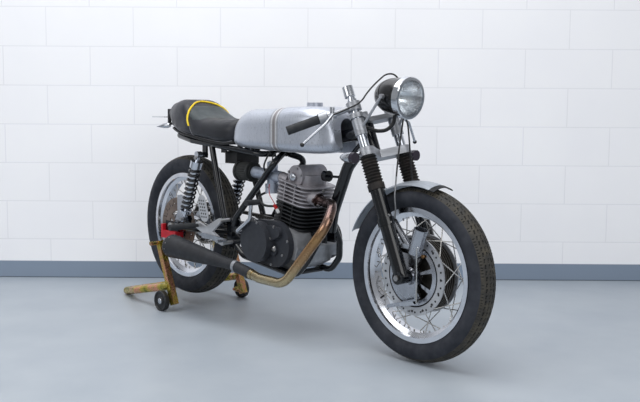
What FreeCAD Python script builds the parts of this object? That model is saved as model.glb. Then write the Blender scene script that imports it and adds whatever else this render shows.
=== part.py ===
import FreeCAD, Part
import math
import os
import Sketcher
from FreeCAD import Placement, Rotation, Vector

# A cafe racer motorcycle standing on its rear paddock stand.
# Every piece is drawn with X forward from the rear axle, Y to the rider's left and Z up from the
# floor, and is then shifted along X so that the middle of the whole machine lies at X = 0.

os.makedirs("parts", exist_ok=True)
doc = FreeCAD.newDocument("cafe_racer")
sheet = doc.addObject("Spreadsheet::Sheet", "Sizes")

# Driving dimensions, in millimetres, with angles in degrees
SIZES = {
    # Main layout
    "wheelbase": 1400,
    "front_tyre_radius": 318,
    "rear_tyre_radius": 326,
    "wheel_lift": 40,
    "rake_angle": 22.4,
    "fork_offset": 55,
    "fork_half_spacing": 97,
    "frame_half_width": 110,
    "rail_height": 740,
    "shock_top_drop": 36,
    "running_gap": 0.05,
    "seat_gap": 0.3,
    "moving_gap": 6,
    "cut_overrun": 5,
    # Rims and tyres
    "rim_radius": 242,
    "rim_wall": 3.5,
    "rim_flange_height": 14,
    "rim_well_depth": 16,
    "front_rim_half_width": 38,
    "rear_rim_half_width": 43,
    "front_tyre_half_width": 50,
    "rear_tyre_half_width": 60,
    "tyre_shoulder_drop": 13,
    "spoke_radius": 1.9,
    # Front hub and brake
    "axle_radius": 10,
    "drum_radius": 134,
    "drum_fin_depth": 7,
    "drum_fin_width": 4,
    "drum_flange_radius": 143,
    "drum_flange_face": 40,
    "drum_flange_width": 6,
    "drum_mouth_radius": 113,
    "drum_mouth_depth": 34,
    "drum_back": 34,
    "drum_hole_radius": 5,
    "front_hub_radius": 30,
    "front_hub_left": 44,
    "front_left_flange_radius": 140,
    "front_left_flange_width": 5,
    "brake_plate_radius": 108,
    "brake_plate_wall": 7,
    "brake_plate_boss_radius": 26,
    "brake_plate_boss_face": 70,
    "brake_opening_radius": 92,
    "scoop_radius": 26,
    "scoop_wall": 3,
    "brake_arm_width": 9,
    "brake_arm_thickness": 5,
    "brake_arm_plane": 66,
    "torque_arm_radius": 12,
    # Rear hub, disc, sprocket, chain
    "rear_hub_radius": 38,
    "rear_hub_half_width": 62,
    "rear_flange_radius": 62,
    "rear_flange_width": 6,
    "rear_disc_radius": 130,
    "rear_disc_inner_radius": 68,
    "rear_disc_width": 5,
    "rear_disc_plane": 78,
    "rear_axle_radius": 10,
    "caliper_carrier_thickness": 4,
    "sprocket_radius": 84,
    "sprocket_width": 7,
    "sprocket_plane": 78,
    "sprocket_tooth_depth": 5,
    "drive_sprocket_radius": 30,
    "drive_sprocket_x": 548,
    "drive_sprocket_z": 388,
    "chain_height": 14,
    "chain_width": 16,
    "chain_gap": 1,
    # Fork
    "fork_tube_radius": 17.5,
    "fork_tube_start": 120,
    "fork_tube_top": 668,
    "fork_cap_height": 12,
    "slider_radius": 26,
    "slider_top": 345,
    "axle_boss_radius": 23,
    "axle_boss_half_width": 25,
    "gaiter_radius": 31,
    "gaiter_root_radius": 25,
    "gaiter_top": 451,
    "gaiter_collar_height": 22,
    "lower_yoke_base": 452,
    "yoke_height": 30,
    "yoke_clamp_radius": 29,
    "top_yoke_base": 596,
    "top_yoke_height": 18,
    "stem_radius": 13,
    "stem_boss_radius": 27,
    "stem_top": 640,
    "head_tube_radius": 28,
    "clip_on_base": 626,
    "clip_on_height": 32,
    "clip_on_wall": 9,
    # Bars, levers, gauge, lamps
    "bar_radius": 11,
    "bar_length": 254,
    "bar_drop_angle": 20,
    "bar_sweep_angle": 36,
    "grip_radius": 16.5,
    "grip_length": 122,
    "grip_end_gap": 4,
    "perch_radius": 17,
    "perch_length": 30,
    "mirror_boss_radius": 9,
    "mirror_boss_rise": 11,
    "mirror_boss_ahead": 14,
    "mirror_boss_drop": 20,
    "mirror_hole_radius": 4.25,
    "mirror_hole_depth": 12,
    "lever_length": 122,
    "lever_radius": 5,
    "lever_ball_radius": 8,
    "lever_reach": 64,
    "gauge_radius": 20,
    "gauge_height": 40,
    "gauge_offset": 58,
    "gauge_rise": 84,
    "throttle_radius": 21,
    "throttle_length": 30,
    "headlight_radius": 76,
    "headlight_depth": 155,
    "headlight_setback": 56,
    "headlight_z": 942,
    "headlight_tilt": 6,
    "headlight_ring_depth": 26,
    "headlight_ring_wall": 6,
    "lens_thickness": 6,
    "lens_bulge": 12,
    "lamp_bracket_thickness": 5,
    "lamp_bracket_height": 60,
    "indicator_radius": 20,
    "indicator_length": 88,
    "indicator_stalk_radius": 6,
    "front_indicator_spread": 145,
    # Front mudguard
    "mudguard_gap": 14,
    "mudguard_half_width": 54,
    "mudguard_crown": 12,
    "mudguard_wall": 2.5,
    "mudguard_front_angle": 72,
    "mudguard_rear_angle": 156,
    # Frame and swingarm
    "spine_radius": 25,
    "downtube_radius": 23,
    "side_tube_radius": 13,
    "rail_radius": 12.5,
    "cradle_radius": 13,
    "pivot_x": 438,
    "pivot_z": 372,
    "pivot_bolt_radius": 9,
    "pivot_boss_radius": 24,
    "pivot_plate_thickness": 8,
    "pivot_half_width": 92,
    "swingarm_half_spacing": 108,
    "swingarm_radius": 18,
    "axle_plate_thickness": 12,
    "axle_plate_half_height": 22,
    # Suspension
    "shock_plane": 132,
    "shock_top_x": 240,
    "shock_foot_x": 126,
    "shock_foot_z": 412,
    "shock_body_radius": 17,
    "shock_cap_radius": 27,
    "shock_eye_radius": 14,
    "shock_eye_width": 24,
    "spring_radius": 29,
    "spring_wire_radius": 4.5,
    "spring_turns": 9,
    # Engine
    "case_half_width": 118,
    "case_base_z": 262,
    "case_length": 310,
    "case_height": 190,
    "case_start_x": 560,
    "cover_thickness": 26,
    "clutch_bulge": 40,
    "clutch_radius": 82,
    "clutch_x": 682,
    "clutch_z": 374,
    "crank_x": 762,
    "crank_z": 369,
    "crank_cover_radius": 92,
    "cylinder_x": 766,
    "cylinder_base_z": 440,
    "cylinder_lean": 11,
    "cylinder_height": 95,
    "cylinder_bore_block": 68,
    "fin_half_width": 93,
    "fin_round": 42,
    "fin_thickness": 4.5,
    "fin_rib_width": 6,
    "head_height": 80,
    "rocker_height": 72,
    "rocker_half_width": 60,
    "port_radius": 27,
    "port_offset": 42,
    "flange_thickness": 7,
    "flange_reach": 27,
    "horn_radius": 22,
    "horn_stay_radius": 5,
    "horn_depth": 24,
    "horn_x": 902,
    "horn_z": 642,
    # Intake and exhaust
    "intake_offset": 48,
    "intake_z": 640,
    "filter_radius": 43,
    "pleat_depth": 3,
    "filter_length": 96,
    "filter_x": 428,
    "carb_radius": 24,
    "pipe_radius": 19,
    "muffler_radius": 52,
    "muffler_neck_radius": 23,
    "muffler_plane": 190,
    "muffler_start_x": 560,
    "muffler_end_x": 118,
    "muffler_start_z": 264,
    "muffler_end_z": 294,
    "muffler_cap_length": 30,
    # Tank and seat
    "tank_head_gap": 106,
    "tank_length": 577,
    "tank_drop": 6,
    "tank_buffer_radius": 8,
    "tank_buffer_rise": 18,
    "tank_height": 182,
    "tank_half_width": 141,
    "tunnel_half_width": 36,
    "tunnel_height": 134,
    "tank_seat_gap": 3,
    "seat_length": 627,
    "seat_rise": 20,
    "seat_height": 182,
    "seat_half_width": 122,
    "seat_pan_thickness": 9,
    "battery_x": 336,
    "battery_length": 84,
    "battery_height": 58,
    "battery_half_width": 60,
    "tail_plate_length": 100,
    "tail_plate_thickness": 3,
    # Cables
    "cable_radius": 3,
    "loom_radius": 7,
    "speedometer_drive_radius": 24,
    # Foot controls
    "rearset_plane": 150,
    "rearset_thickness": 10,
    "peg_radius": 13,
    "peg_start": 172,
    "peg_end": 300,
    "peg_x": 262,
    "peg_z": 398,
    # Paddock stand
    "stand_tail_x": -364,
    "stand_bar_radius": 18,
    "stand_half_width": 195,
    "stand_tail_half_width": 144,
    "stand_top_x": 30,
    "stand_top_z": 300,
    "stand_foot_x": 134,
    "stand_foot_z": 46,
    "stand_post_half": 14,
    "stand_wheel_x": 84,
    "stand_wheel_radius": 46,
    "stand_wheel_width": 24,
    "stand_wheel_plane": 214,
    "stand_axle_radius": 7,
    "pad_rod_radius": 9,
    "pad_height": 22,
}


def formula(value):
    """The text that a plain number or a named size has in an expression."""
    return value.formula if isinstance(value, Size) else repr(float(value))


class Size(float):
    """A value of the sheet, or one worked out from such values, that carries its own formula."""

    def __new__(cls, value, text):
        size = super().__new__(cls, value)
        size.formula = text
        return size

    def joined(self, other, sign, value, swapped=False):
        first, second = formula(self), formula(other)
        if swapped:
            first, second = second, first
        return Size(value, "(%s %s %s)" % (first, sign, second))

    def __add__(self, other):
        return self.joined(other, "+", float(self) + float(other))

    def __radd__(self, other):
        return self.joined(other, "+", float(other) + float(self), True)

    def __sub__(self, other):
        return self.joined(other, "-", float(self) - float(other))

    def __rsub__(self, other):
        return self.joined(other, "-", float(other) - float(self), True)

    def __mul__(self, other):
        return self.joined(other, "*", float(self) * float(other))

    def __rmul__(self, other):
        return self.joined(other, "*", float(other) * float(self), True)

    def __truediv__(self, other):
        return self.joined(other, "/", float(self) / float(other))

    def __neg__(self):
        return Size(-float(self), "(0 - %s)" % self.formula)


for row, (alias, number) in enumerate(SIZES.items(), start=1):
    sheet.set("A%d" % row, alias)
    sheet.set("B%d" % row, repr(number))
    sheet.setAlias("B%d" % row, alias)
doc.recompute()


class Named:
    """The named sizes, read back from the sheet."""


S = Named()
for alias in SIZES:
    setattr(S, alias, Size(getattr(sheet, alias), "Sizes." + alias))

# Places that follow from the driving dimensions
rear_axle_z = S.rear_tyre_radius + S.wheel_lift
front_axle_z = S.front_tyre_radius
machine_shift = (S.wheelbase + S.front_tyre_radius + S.stand_tail_x) / -2
UPRIGHT = Rotation(Vector(0, 0, 1), 0)
ALONG_LEFT = Rotation(Vector(1, 0, 0), -90)
ALONG_RIGHT = Rotation(Vector(1, 0, 0), 90)
RAKED = Rotation(Vector(0, 1, 0), -S.rake_angle)
FORK_ORIGIN = Vector(S.wheelbase, 0, front_axle_z)
headlight_x = S.wheelbase - S.headlight_setback
shock_top_z = S.rail_height - S.shock_top_drop
tank_base_z = S.rail_height - S.tank_drop
tunnel_top_z = tank_base_z + S.tunnel_height
seat_base_z = S.rail_height + S.seat_rise
tank_front_x = S.wheelbase - S.fork_offset * 4.65 - S.tank_head_gap
tank_rear_x = tank_front_x - S.tank_length
seat_rear_x = tank_rear_x - S.tank_seat_gap - S.seat_length

finished = {}


# Small makers of features and shapes

def bind(item, name, value):
    """Set a property, as an expression where the value comes from the sheet."""
    if isinstance(value, Size):
        item.setExpression(name, value.formula)
    else:
        setattr(item, name, value)


def keep(node, item, base=(0, 0, 0), rotation=UPRIGHT):
    """Label a finished sub-part and place it in the machine's frame."""
    item.Label = node
    x, y, z = base
    item.Placement = Placement(Vector(machine_shift + x, y, z), rotation)
    bind(item, "Placement.Base.x", machine_shift + x)
    for name, value in (("Placement.Base.y", y), ("Placement.Base.z", z)):
        if isinstance(value, Size):
            bind(item, name, value)
    finished[node] = item
    return item


def made(node, shape, base=(0, 0, 0), rotation=UPRIGHT):
    """A sub-part whose shape is worked out here from the named sizes."""
    item = doc.addObject("Part::Feature", node)
    item.Shape = shape
    return keep(node, item, base, rotation)


def placed(node):
    """A finished sub-part's shape, in the frame that the pieces are drawn in."""
    shape = finished[node].Shape.copy()
    shape.translate(Vector(-machine_shift, 0, 0))
    return shape


def in_fork(node, shape):
    """A sub-part drawn in the fork's frame: Z up the legs from the axle, X ahead of them."""
    return made(node, shape, (S.wheelbase, 0, front_axle_z), RAKED)


def origin_plane(body, role):
    """One of the body's own origin planes."""
    return [item for item in body.Origin.OriginFeatures if item.Role == role][0]


def fixed_point(sketch, geometry, vertex, x, y):
    """Hold one point of a sketch at two named distances from its origin."""
    for kind, value in (("DistanceX", x), ("DistanceY", y)):
        index = sketch.addConstraint(Sketcher.Constraint(kind, -1, 1, geometry, vertex, float(value)))
        if isinstance(value, Size):
            sketch.setExpression("Constraints[%d]" % index, value.formula)


def outline_sketch(body, name, role, points):
    """A closed outline. A point marked "via" is passed by an arc between its two neighbours."""
    sketch = body.newObject("Sketcher::SketchObject", name)
    sketch.AttachmentSupport = (origin_plane(body, role), [""])
    sketch.MapMode = "FlatFace"
    corners = [point for point in points if len(point) == 2]
    vias = {}
    count = -1
    for point in points:
        if len(point) == 2:
            count += 1
        else:
            vias[count] = point
    first_ends = []
    for number, corner in enumerate(corners):
        after = corners[(number + 1) % len(corners)]
        start = Vector(corner[0], corner[1], 0)
        end = Vector(after[0], after[1], 0)
        if number in vias:
            middle = Vector(vias[number][0], vias[number][1], 0)
            arc = Part.Arc(start, middle, end)
            index = sketch.addGeometry(arc, False)
            if sketch.Geometry[index].StartPoint.distanceToPoint(start) < S.running_gap:
                first_ends.append((index, 1, 2))
            else:
                first_ends.append((index, 2, 1))
            mark = sketch.addGeometry(Part.Point(middle), True)
            sketch.addConstraint(Sketcher.Constraint("PointOnObject", mark, 1, index))
            fixed_point(sketch, mark, 1, vias[number][0], vias[number][1])
        else:
            index = sketch.addGeometry(Part.LineSegment(start, end), False)
            first_ends.append((index, 1, 2))
    for number, corner in enumerate(corners):
        index, head, _ = first_ends[number]
        before, _, tail = first_ends[number - 1]
        sketch.addConstraint(Sketcher.Constraint("Coincident", before, tail, index, head))
        fixed_point(sketch, index, head, corner[0], corner[1])
    return sketch


def turned_body(name, points):
    """A body turned about its own Z axis from an outline of (radius, height) points."""
    body = doc.addObject("PartDesign::Body", name)
    sketch = outline_sketch(body, name + "_outline", "XZ_Plane", points)
    turn = body.newObject("PartDesign::Revolution", name + "_turn")
    turn.Profile = sketch
    turn.ReferenceAxis = (sketch, ["V_Axis"])
    turn.Angle = 360
    body.Tip = turn
    return body


def rod(start, end, radius):
    """A round bar between two points."""
    run = end - start
    return Part.makeCylinder(radius, run.Length, start, run)


def block(low, high):
    """A box between two corners."""
    return Part.makeBox(high.x - low.x, high.y - low.y, high.z - low.z, low)


def largest(shape):
    """The largest solid of what a cut leaves."""
    return max(shape.Solids, key=lambda solid: solid.Volume)


def bent_path(points, radius):
    """Straight runs joined by tangent arcs of one radius, smaller where the runs are short."""
    edges = []
    start = points[0]
    for number in range(1, len(points) - 1):
        before = (points[number - 1] - points[number]).normalize()
        after = (points[number + 1] - points[number]).normalize()
        half_turn = (math.pi - before.getAngle(after)) / 2
        room = 0.45 * min((points[number - 1] - points[number]).Length,
                          (points[number + 1] - points[number]).Length)
        reach = min(radius * math.tan(half_turn), room)
        bend = reach / math.tan(half_turn)
        first = points[number] + before * reach
        last = points[number] + after * reach
        inward = (before + after).normalize()
        centre = points[number] + inward * math.hypot(reach, bend)
        middle = centre - inward * bend
        edges.append(Part.LineSegment(start, first).toShape())
        edges.append(Part.Arc(first, middle, last).toShape())
        start = last
    edges.append(Part.LineSegment(start, points[-1]).toShape())
    return Part.Wire(edges)


def tube(points, radius, bend=None):
    """A round bar swept along a bent path."""
    path = bent_path(points, radius * 4 if bend is None else bend)
    run = points[1] - points[0]
    ring = Part.Wire([Part.makeCircle(radius, points[0], run)])
    return path.makePipeShell([ring], True, False)


def link_face(first, first_radius, second, second_radius):
    """The flat outline of a belt round two circles in the XY plane."""
    run = second - first
    along = math.atan2(run.y, run.x)
    spread = math.acos((first_radius - second_radius) / run.Length)

    def rim(centre, radius, angle):
        return centre + Vector(radius * math.cos(angle), radius * math.sin(angle), 0)

    left_a, right_a = rim(first, first_radius, along + spread), rim(first, first_radius, along - spread)
    left_b, right_b = rim(second, second_radius, along + spread), rim(second, second_radius, along - spread)
    back = rim(first, first_radius, along + math.pi)
    front = rim(second, second_radius, along)
    edges = [
        Part.Arc(left_a, back, right_a).toShape(),
        Part.LineSegment(right_a, right_b).toShape(),
        Part.Arc(right_b, front, left_b).toShape(),
        Part.LineSegment(left_b, left_a).toShape(),
    ]
    return Part.Face(Part.Wire(edges))


def link(first, first_radius, second, second_radius, thickness):
    """A link plate round two circles, standing on the XY plane."""
    return link_face(first, first_radius, second, second_radius).extrude(Vector(0, 0, thickness))


def side_link(first, first_radius, second, second_radius, plane, thickness):
    """A link plate in a plane seen from the side, from that plane outwards to the right."""
    flat = link(Vector(first.x, first.z, 0), first_radius, Vector(second.x, second.z, 0),
                second_radius, thickness)
    flat.Placement = Placement(Vector(0, plane, 0), ALONG_RIGHT)
    return flat


def fused(pieces):
    """All pieces as one clean shape."""
    pieces = list(pieces)
    if len(pieces) == 1:
        return pieces[0]
    return pieces[0].multiFuse(pieces[1:]).removeSplitter()


def mirrored(shape):
    """The same shape on the other side of the machine."""
    return shape.mirror(Vector(0, 0, 0), Vector(0, 1, 0))


def pair(shape):
    """A shape and its mirror image as one compound of separate solids."""
    return Part.Compound([shape, mirrored(shape)])


def smooth_turn(points, closed_with):
    """A solid turned about Z from a smooth curve through points, closed by straight runs."""
    curve = Part.BSplineCurve()
    curve.interpolate([Vector(radius, 0, height) for radius, height in points])
    edges = [curve.toShape()]
    corners = [points[-1]] + list(closed_with) + [points[0]]
    for first, second in zip(corners, corners[1:]):
        edges.append(Part.LineSegment(Vector(first[0], 0, first[1]),
                                      Vector(second[0], 0, second[1])).toShape())
    return Part.Face(Part.Wire(edges)).revolve(Vector(0, 0, 0), Vector(0, 0, 1), 360)


def oval_section(low, high, half_width, round_top, round_bottom):
    """A rounded section across the machine, which leans with the line from low to high."""
    up = (high - low).normalize()
    across = Vector(0, 1, 0)
    tall = (high - low).Length
    round_top = min(round_top, half_width * 0.9, tall * 0.55)
    round_bottom = min(round_bottom, half_width * 0.9, tall * 0.4)

    def at(side, rise):
        return low + across * side + up * rise

    cut = 1 - math.sqrt(0.5)
    edges = []
    corners = (
        (1, round_bottom, True), (1, round_top, False), (-1, round_top, False), (-1, round_bottom, True),
    )
    arcs = []
    for side, radius, bottom in corners:
        rise_flat, rise_side = (0, radius) if bottom else (tall, tall - radius)
        rise_middle = cut * radius if bottom else tall - cut * radius
        flat = at(side * (half_width - radius), rise_flat)
        upright = at(side * half_width, rise_side)
        middle = at(side * (half_width - cut * radius), rise_middle)
        arcs.append((flat, middle, upright))
    order = (
        (arcs[0][0], arcs[0][1], arcs[0][2]), (arcs[1][2], arcs[1][1], arcs[1][0]),
        (arcs[2][0], arcs[2][1], arcs[2][2]), (arcs[3][2], arcs[3][1], arcs[3][0]),
    )
    for number, (first, middle, last) in enumerate(order):
        edges.append(Part.Arc(first, middle, last).toShape())
        following = order[(number + 1) % len(order)][0]
        edges.append(Part.LineSegment(last, following).toShape())
    return Part.Wire(edges)


def fork_place(along, ahead=0, side=0):
    """The place in the machine's frame of a point drawn in the fork's frame."""
    return FORK_ORIGIN + RAKED.multVec(Vector(ahead, side, along))


def frame_places(shares):
    """Tube points, written as shares of the wheelbase, the frame's half width and the rail's height."""
    return [Vector(x * S.wheelbase, y * S.frame_half_width, z * S.rail_height) for x, y, z in shares]


# Wheels

def rim_points(half_width):
    """The section of a rim, from the outer edge of one flange round to the other."""
    wall = S.rim_wall
    flange = S.rim_radius
    seat = flange - S.rim_flange_height
    well = seat - S.rim_well_depth
    inside = half_width - wall
    shelf = half_width * 0.62
    foot = half_width * 0.42
    return [
        (flange, -half_width), (flange, -inside), (seat, -inside), (seat, -shelf), (well, -foot),
        (well, foot), (seat, shelf), (seat, inside), (flange, inside), (flange, half_width),
        (seat - wall, half_width), (seat - wall, shelf), (well - wall, foot),
        (well - wall, -foot), (seat - wall, -shelf), (seat - wall, -half_width),
    ]


def tyre_points(radius, half_width, rim_half_width):
    """The section of a tyre, from bead to bead over the tread."""
    bead = S.rim_radius - S.rim_flange_height + S.seat_gap
    bead_half = rim_half_width - S.rim_wall - S.seat_gap
    lip = S.rim_radius + S.seat_gap * 4
    shoulder = radius - S.tyre_shoulder_drop
    shoulder_half = half_width * 0.76
    wall = shoulder - lip
    right = [(bead, -bead_half), (lip, -bead_half), (lip + wall * 0.28, -half_width * 0.95),
             (lip + wall * 0.58, -half_width), (shoulder, -shoulder_half),
             (radius - S.tyre_shoulder_drop * 0.22, -shoulder_half * 0.46)]
    return right + [(size, -place) for size, place in reversed(right)]


def spokes(flanges, rim_inside, count):
    """Wire spokes drawn about Z. Each flange is its radius, its plane and the lean of its spokes."""
    wires = []
    for number in range(count):
        for radius, plane, lean, turn in flanges:
            angle = math.radians(360 * (number + turn) / count)
            swing = angle + math.radians(lean) * (1 if number % 2 else -1)
            start_radius = radius + S.spoke_radius * 0.7
            start = Vector(start_radius * math.cos(swing), start_radius * math.sin(swing), plane)
            end_radius = rim_inside - S.spoke_radius * 0.7
            end = Vector(end_radius * math.cos(angle), end_radius * math.sin(angle), plane * 0.15)
            wires.append(rod(start, end, S.spoke_radius))
    return Part.Compound(wires)


def ring_of_holes(shape, radius, circle, count, start, depth):
    """Cut a ring of round holes along Z."""
    holes = []
    for number in range(count):
        angle = math.radians(360 * number / count)
        place = Vector(circle * math.cos(angle), circle * math.sin(angle), start)
        holes.append(Part.makeCylinder(radius, depth, place, Vector(0, 0, 1)))
    return shape.cut(Part.Compound(holes))


def front_hub_points():
    """The brake drum and hub, from the mouth of the drum on the right to the left flange."""
    bore = S.axle_radius + S.running_gap
    face = S.drum_flange_face
    ring_back = face - S.drum_flange_width
    floor = face - S.drum_mouth_depth
    root = S.drum_radius - S.drum_fin_depth
    left = S.front_hub_left
    inner_left = left - S.front_left_flange_width
    points = [
        (bore, -floor), (S.drum_mouth_radius, -floor), (S.drum_mouth_radius, -face),
        (S.drum_flange_radius, -face), (S.drum_flange_radius, -ring_back), (root, -ring_back),
    ]
    fins = 6
    step = (ring_back + S.drum_back) / fins
    for number in range(fins):
        middle = step * (number + 0.5) - ring_back
        low, high = middle - S.drum_fin_width / 2, middle + S.drum_fin_width / 2
        points += [(root, low), (S.drum_radius, low), (S.drum_radius, high), (root, high)]
    points += [
        (root, inner_left), (S.front_left_flange_radius, inner_left), (S.front_left_flange_radius, left),
        (root * 0.9, left), (S.front_hub_radius, left + S.front_left_flange_width * 2),
        (bore, left + S.front_left_flange_width * 2),
    ]
    return points


def build_wheels():
    front_axle = (S.wheelbase, 0, front_axle_z)
    rear_axle = (0, 0, rear_axle_z)
    rim_inside = S.rim_radius - S.rim_flange_height - S.rim_well_depth - S.rim_wall
    for side, place, radius, half_width, rim_half in (
            ("front", front_axle, S.front_tyre_radius, S.front_tyre_half_width, S.front_rim_half_width),
            ("rear", rear_axle, S.rear_tyre_radius, S.rear_tyre_half_width, S.rear_rim_half_width)):
        keep(side + "_tyre", turned_body(side + "_tyre", tyre_points(radius, half_width, rim_half)),
             place, ALONG_LEFT)
        keep(side + "_rim", turned_body(side + "_rim", rim_points(rim_half)), place, ALONG_LEFT)

    drum = turned_body("drum_blank", front_hub_points())
    doc.recompute()
    circle = (S.drum_mouth_radius + S.drum_flange_radius) / 2
    hub = ring_of_holes(drum.Shape.copy(), S.drum_hole_radius, circle, 16,
                        -(S.drum_flange_face + S.cut_overrun), S.drum_flange_width + S.cut_overrun * 2)
    made("front_hub", hub, front_axle, ALONG_LEFT)
    flanges = (
        (S.drum_flange_radius, -(S.drum_flange_face - S.drum_flange_width / 2), 26, 0),
        (S.front_left_flange_radius, S.front_hub_left - S.front_left_flange_width / 2, 26, 0.5),
    )
    made("front_spokes", spokes(flanges, rim_inside, 18).cut(hub), front_axle, ALONG_LEFT)

    bore = S.rear_axle_radius + S.running_gap
    half = S.rear_hub_half_width
    inner = half - S.rear_flange_width
    rear_hub = turned_body("rear_hub", [
        (bore, -half - S.rear_flange_width), (S.rear_hub_radius, -half - S.rear_flange_width),
        (S.rear_hub_radius, -half), (S.rear_flange_radius, -half), (S.rear_flange_radius, -inner),
        (S.rear_hub_radius, -inner), (S.rear_hub_radius, inner), (S.rear_flange_radius, inner),
        (S.rear_flange_radius, half), (S.rear_hub_radius, half),
        (S.rear_hub_radius, half + S.rear_flange_width), (bore, half + S.rear_flange_width),
    ])
    keep("rear_hub", rear_hub, rear_axle, ALONG_LEFT)
    flanges = (
        (S.rear_flange_radius, -(half - S.rear_flange_width / 2), 46, 0),
        (S.rear_flange_radius, half - S.rear_flange_width / 2, 46, 0.5),
    )
    doc.recompute()
    wires = spokes(flanges, rim_inside, 18)
    wires.Placement = Placement(Vector(0, 0, rear_axle_z), ALONG_LEFT)
    made("rear_spokes", wires.cut(placed("rear_hub")))

    plane = -S.rear_disc_plane
    carrier_start = -half - S.rear_flange_width - S.seat_gap
    disc = Part.makeCylinder(S.rear_disc_radius, S.rear_disc_width, Vector(0, 0, plane))
    disc = disc.cut(Part.makeCylinder(S.rear_disc_inner_radius, S.rear_disc_width * 3,
                                      Vector(0, 0, plane - S.rear_disc_width)))
    arms = []
    for number in range(5):
        arm = block(Vector(0, -S.rear_disc_width * 2, plane), Vector(S.rear_disc_inner_radius + S.rim_wall,
                    S.rear_disc_width * 2, carrier_start))
        arm.rotate(Vector(0, 0, 0), Vector(0, 0, 1), 72 * number)
        arms.append(arm)
    carrier = Part.makeCylinder(S.rear_hub_radius, carrier_start - plane, Vector(0, 0, plane))
    disc = fused([disc, carrier] + arms)
    disc = disc.cut(Part.makeCylinder(bore, S.rear_disc_plane, Vector(0, 0, plane - S.rear_disc_width)))
    disc = ring_of_holes(disc, S.drum_hole_radius, S.rear_disc_radius * 0.8, 20,
                         plane - S.cut_overrun, S.rear_disc_width + S.cut_overrun * 2)
    made("rear_disc", disc, rear_axle, ALONG_LEFT)

    teeth = 40
    outline = []
    for number in range(teeth):
        for share, depth in ((0, 0), (0.5, S.sprocket_tooth_depth)):
            angle = 2 * math.pi * (number + share) / teeth
            radius = S.sprocket_radius - depth
            outline.append(Vector(radius * math.cos(angle), radius * math.sin(angle), 0))
    outline.append(outline[0])
    sprocket = Part.Face(Part.makePolygon(outline)).extrude(Vector(0, 0, S.sprocket_width))
    sprocket.translate(Vector(0, 0, S.sprocket_plane - S.sprocket_width / 2))
    start = half + S.rear_flange_width + S.seat_gap
    boss = Part.makeCylinder(S.rear_hub_radius, S.sprocket_plane - start, Vector(0, 0, start))
    sprocket = fused([sprocket, boss])
    sprocket = ring_of_holes(sprocket, S.drum_hole_radius * 2, S.sprocket_radius * 0.66, 6,
                             start, S.sprocket_plane)
    sprocket = sprocket.cut(Part.makeCylinder(bore, S.sprocket_plane, Vector(0, 0, start - S.cut_overrun)))
    made("rear_sprocket", sprocket, rear_axle, ALONG_LEFT)


# Fork and steering

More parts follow.
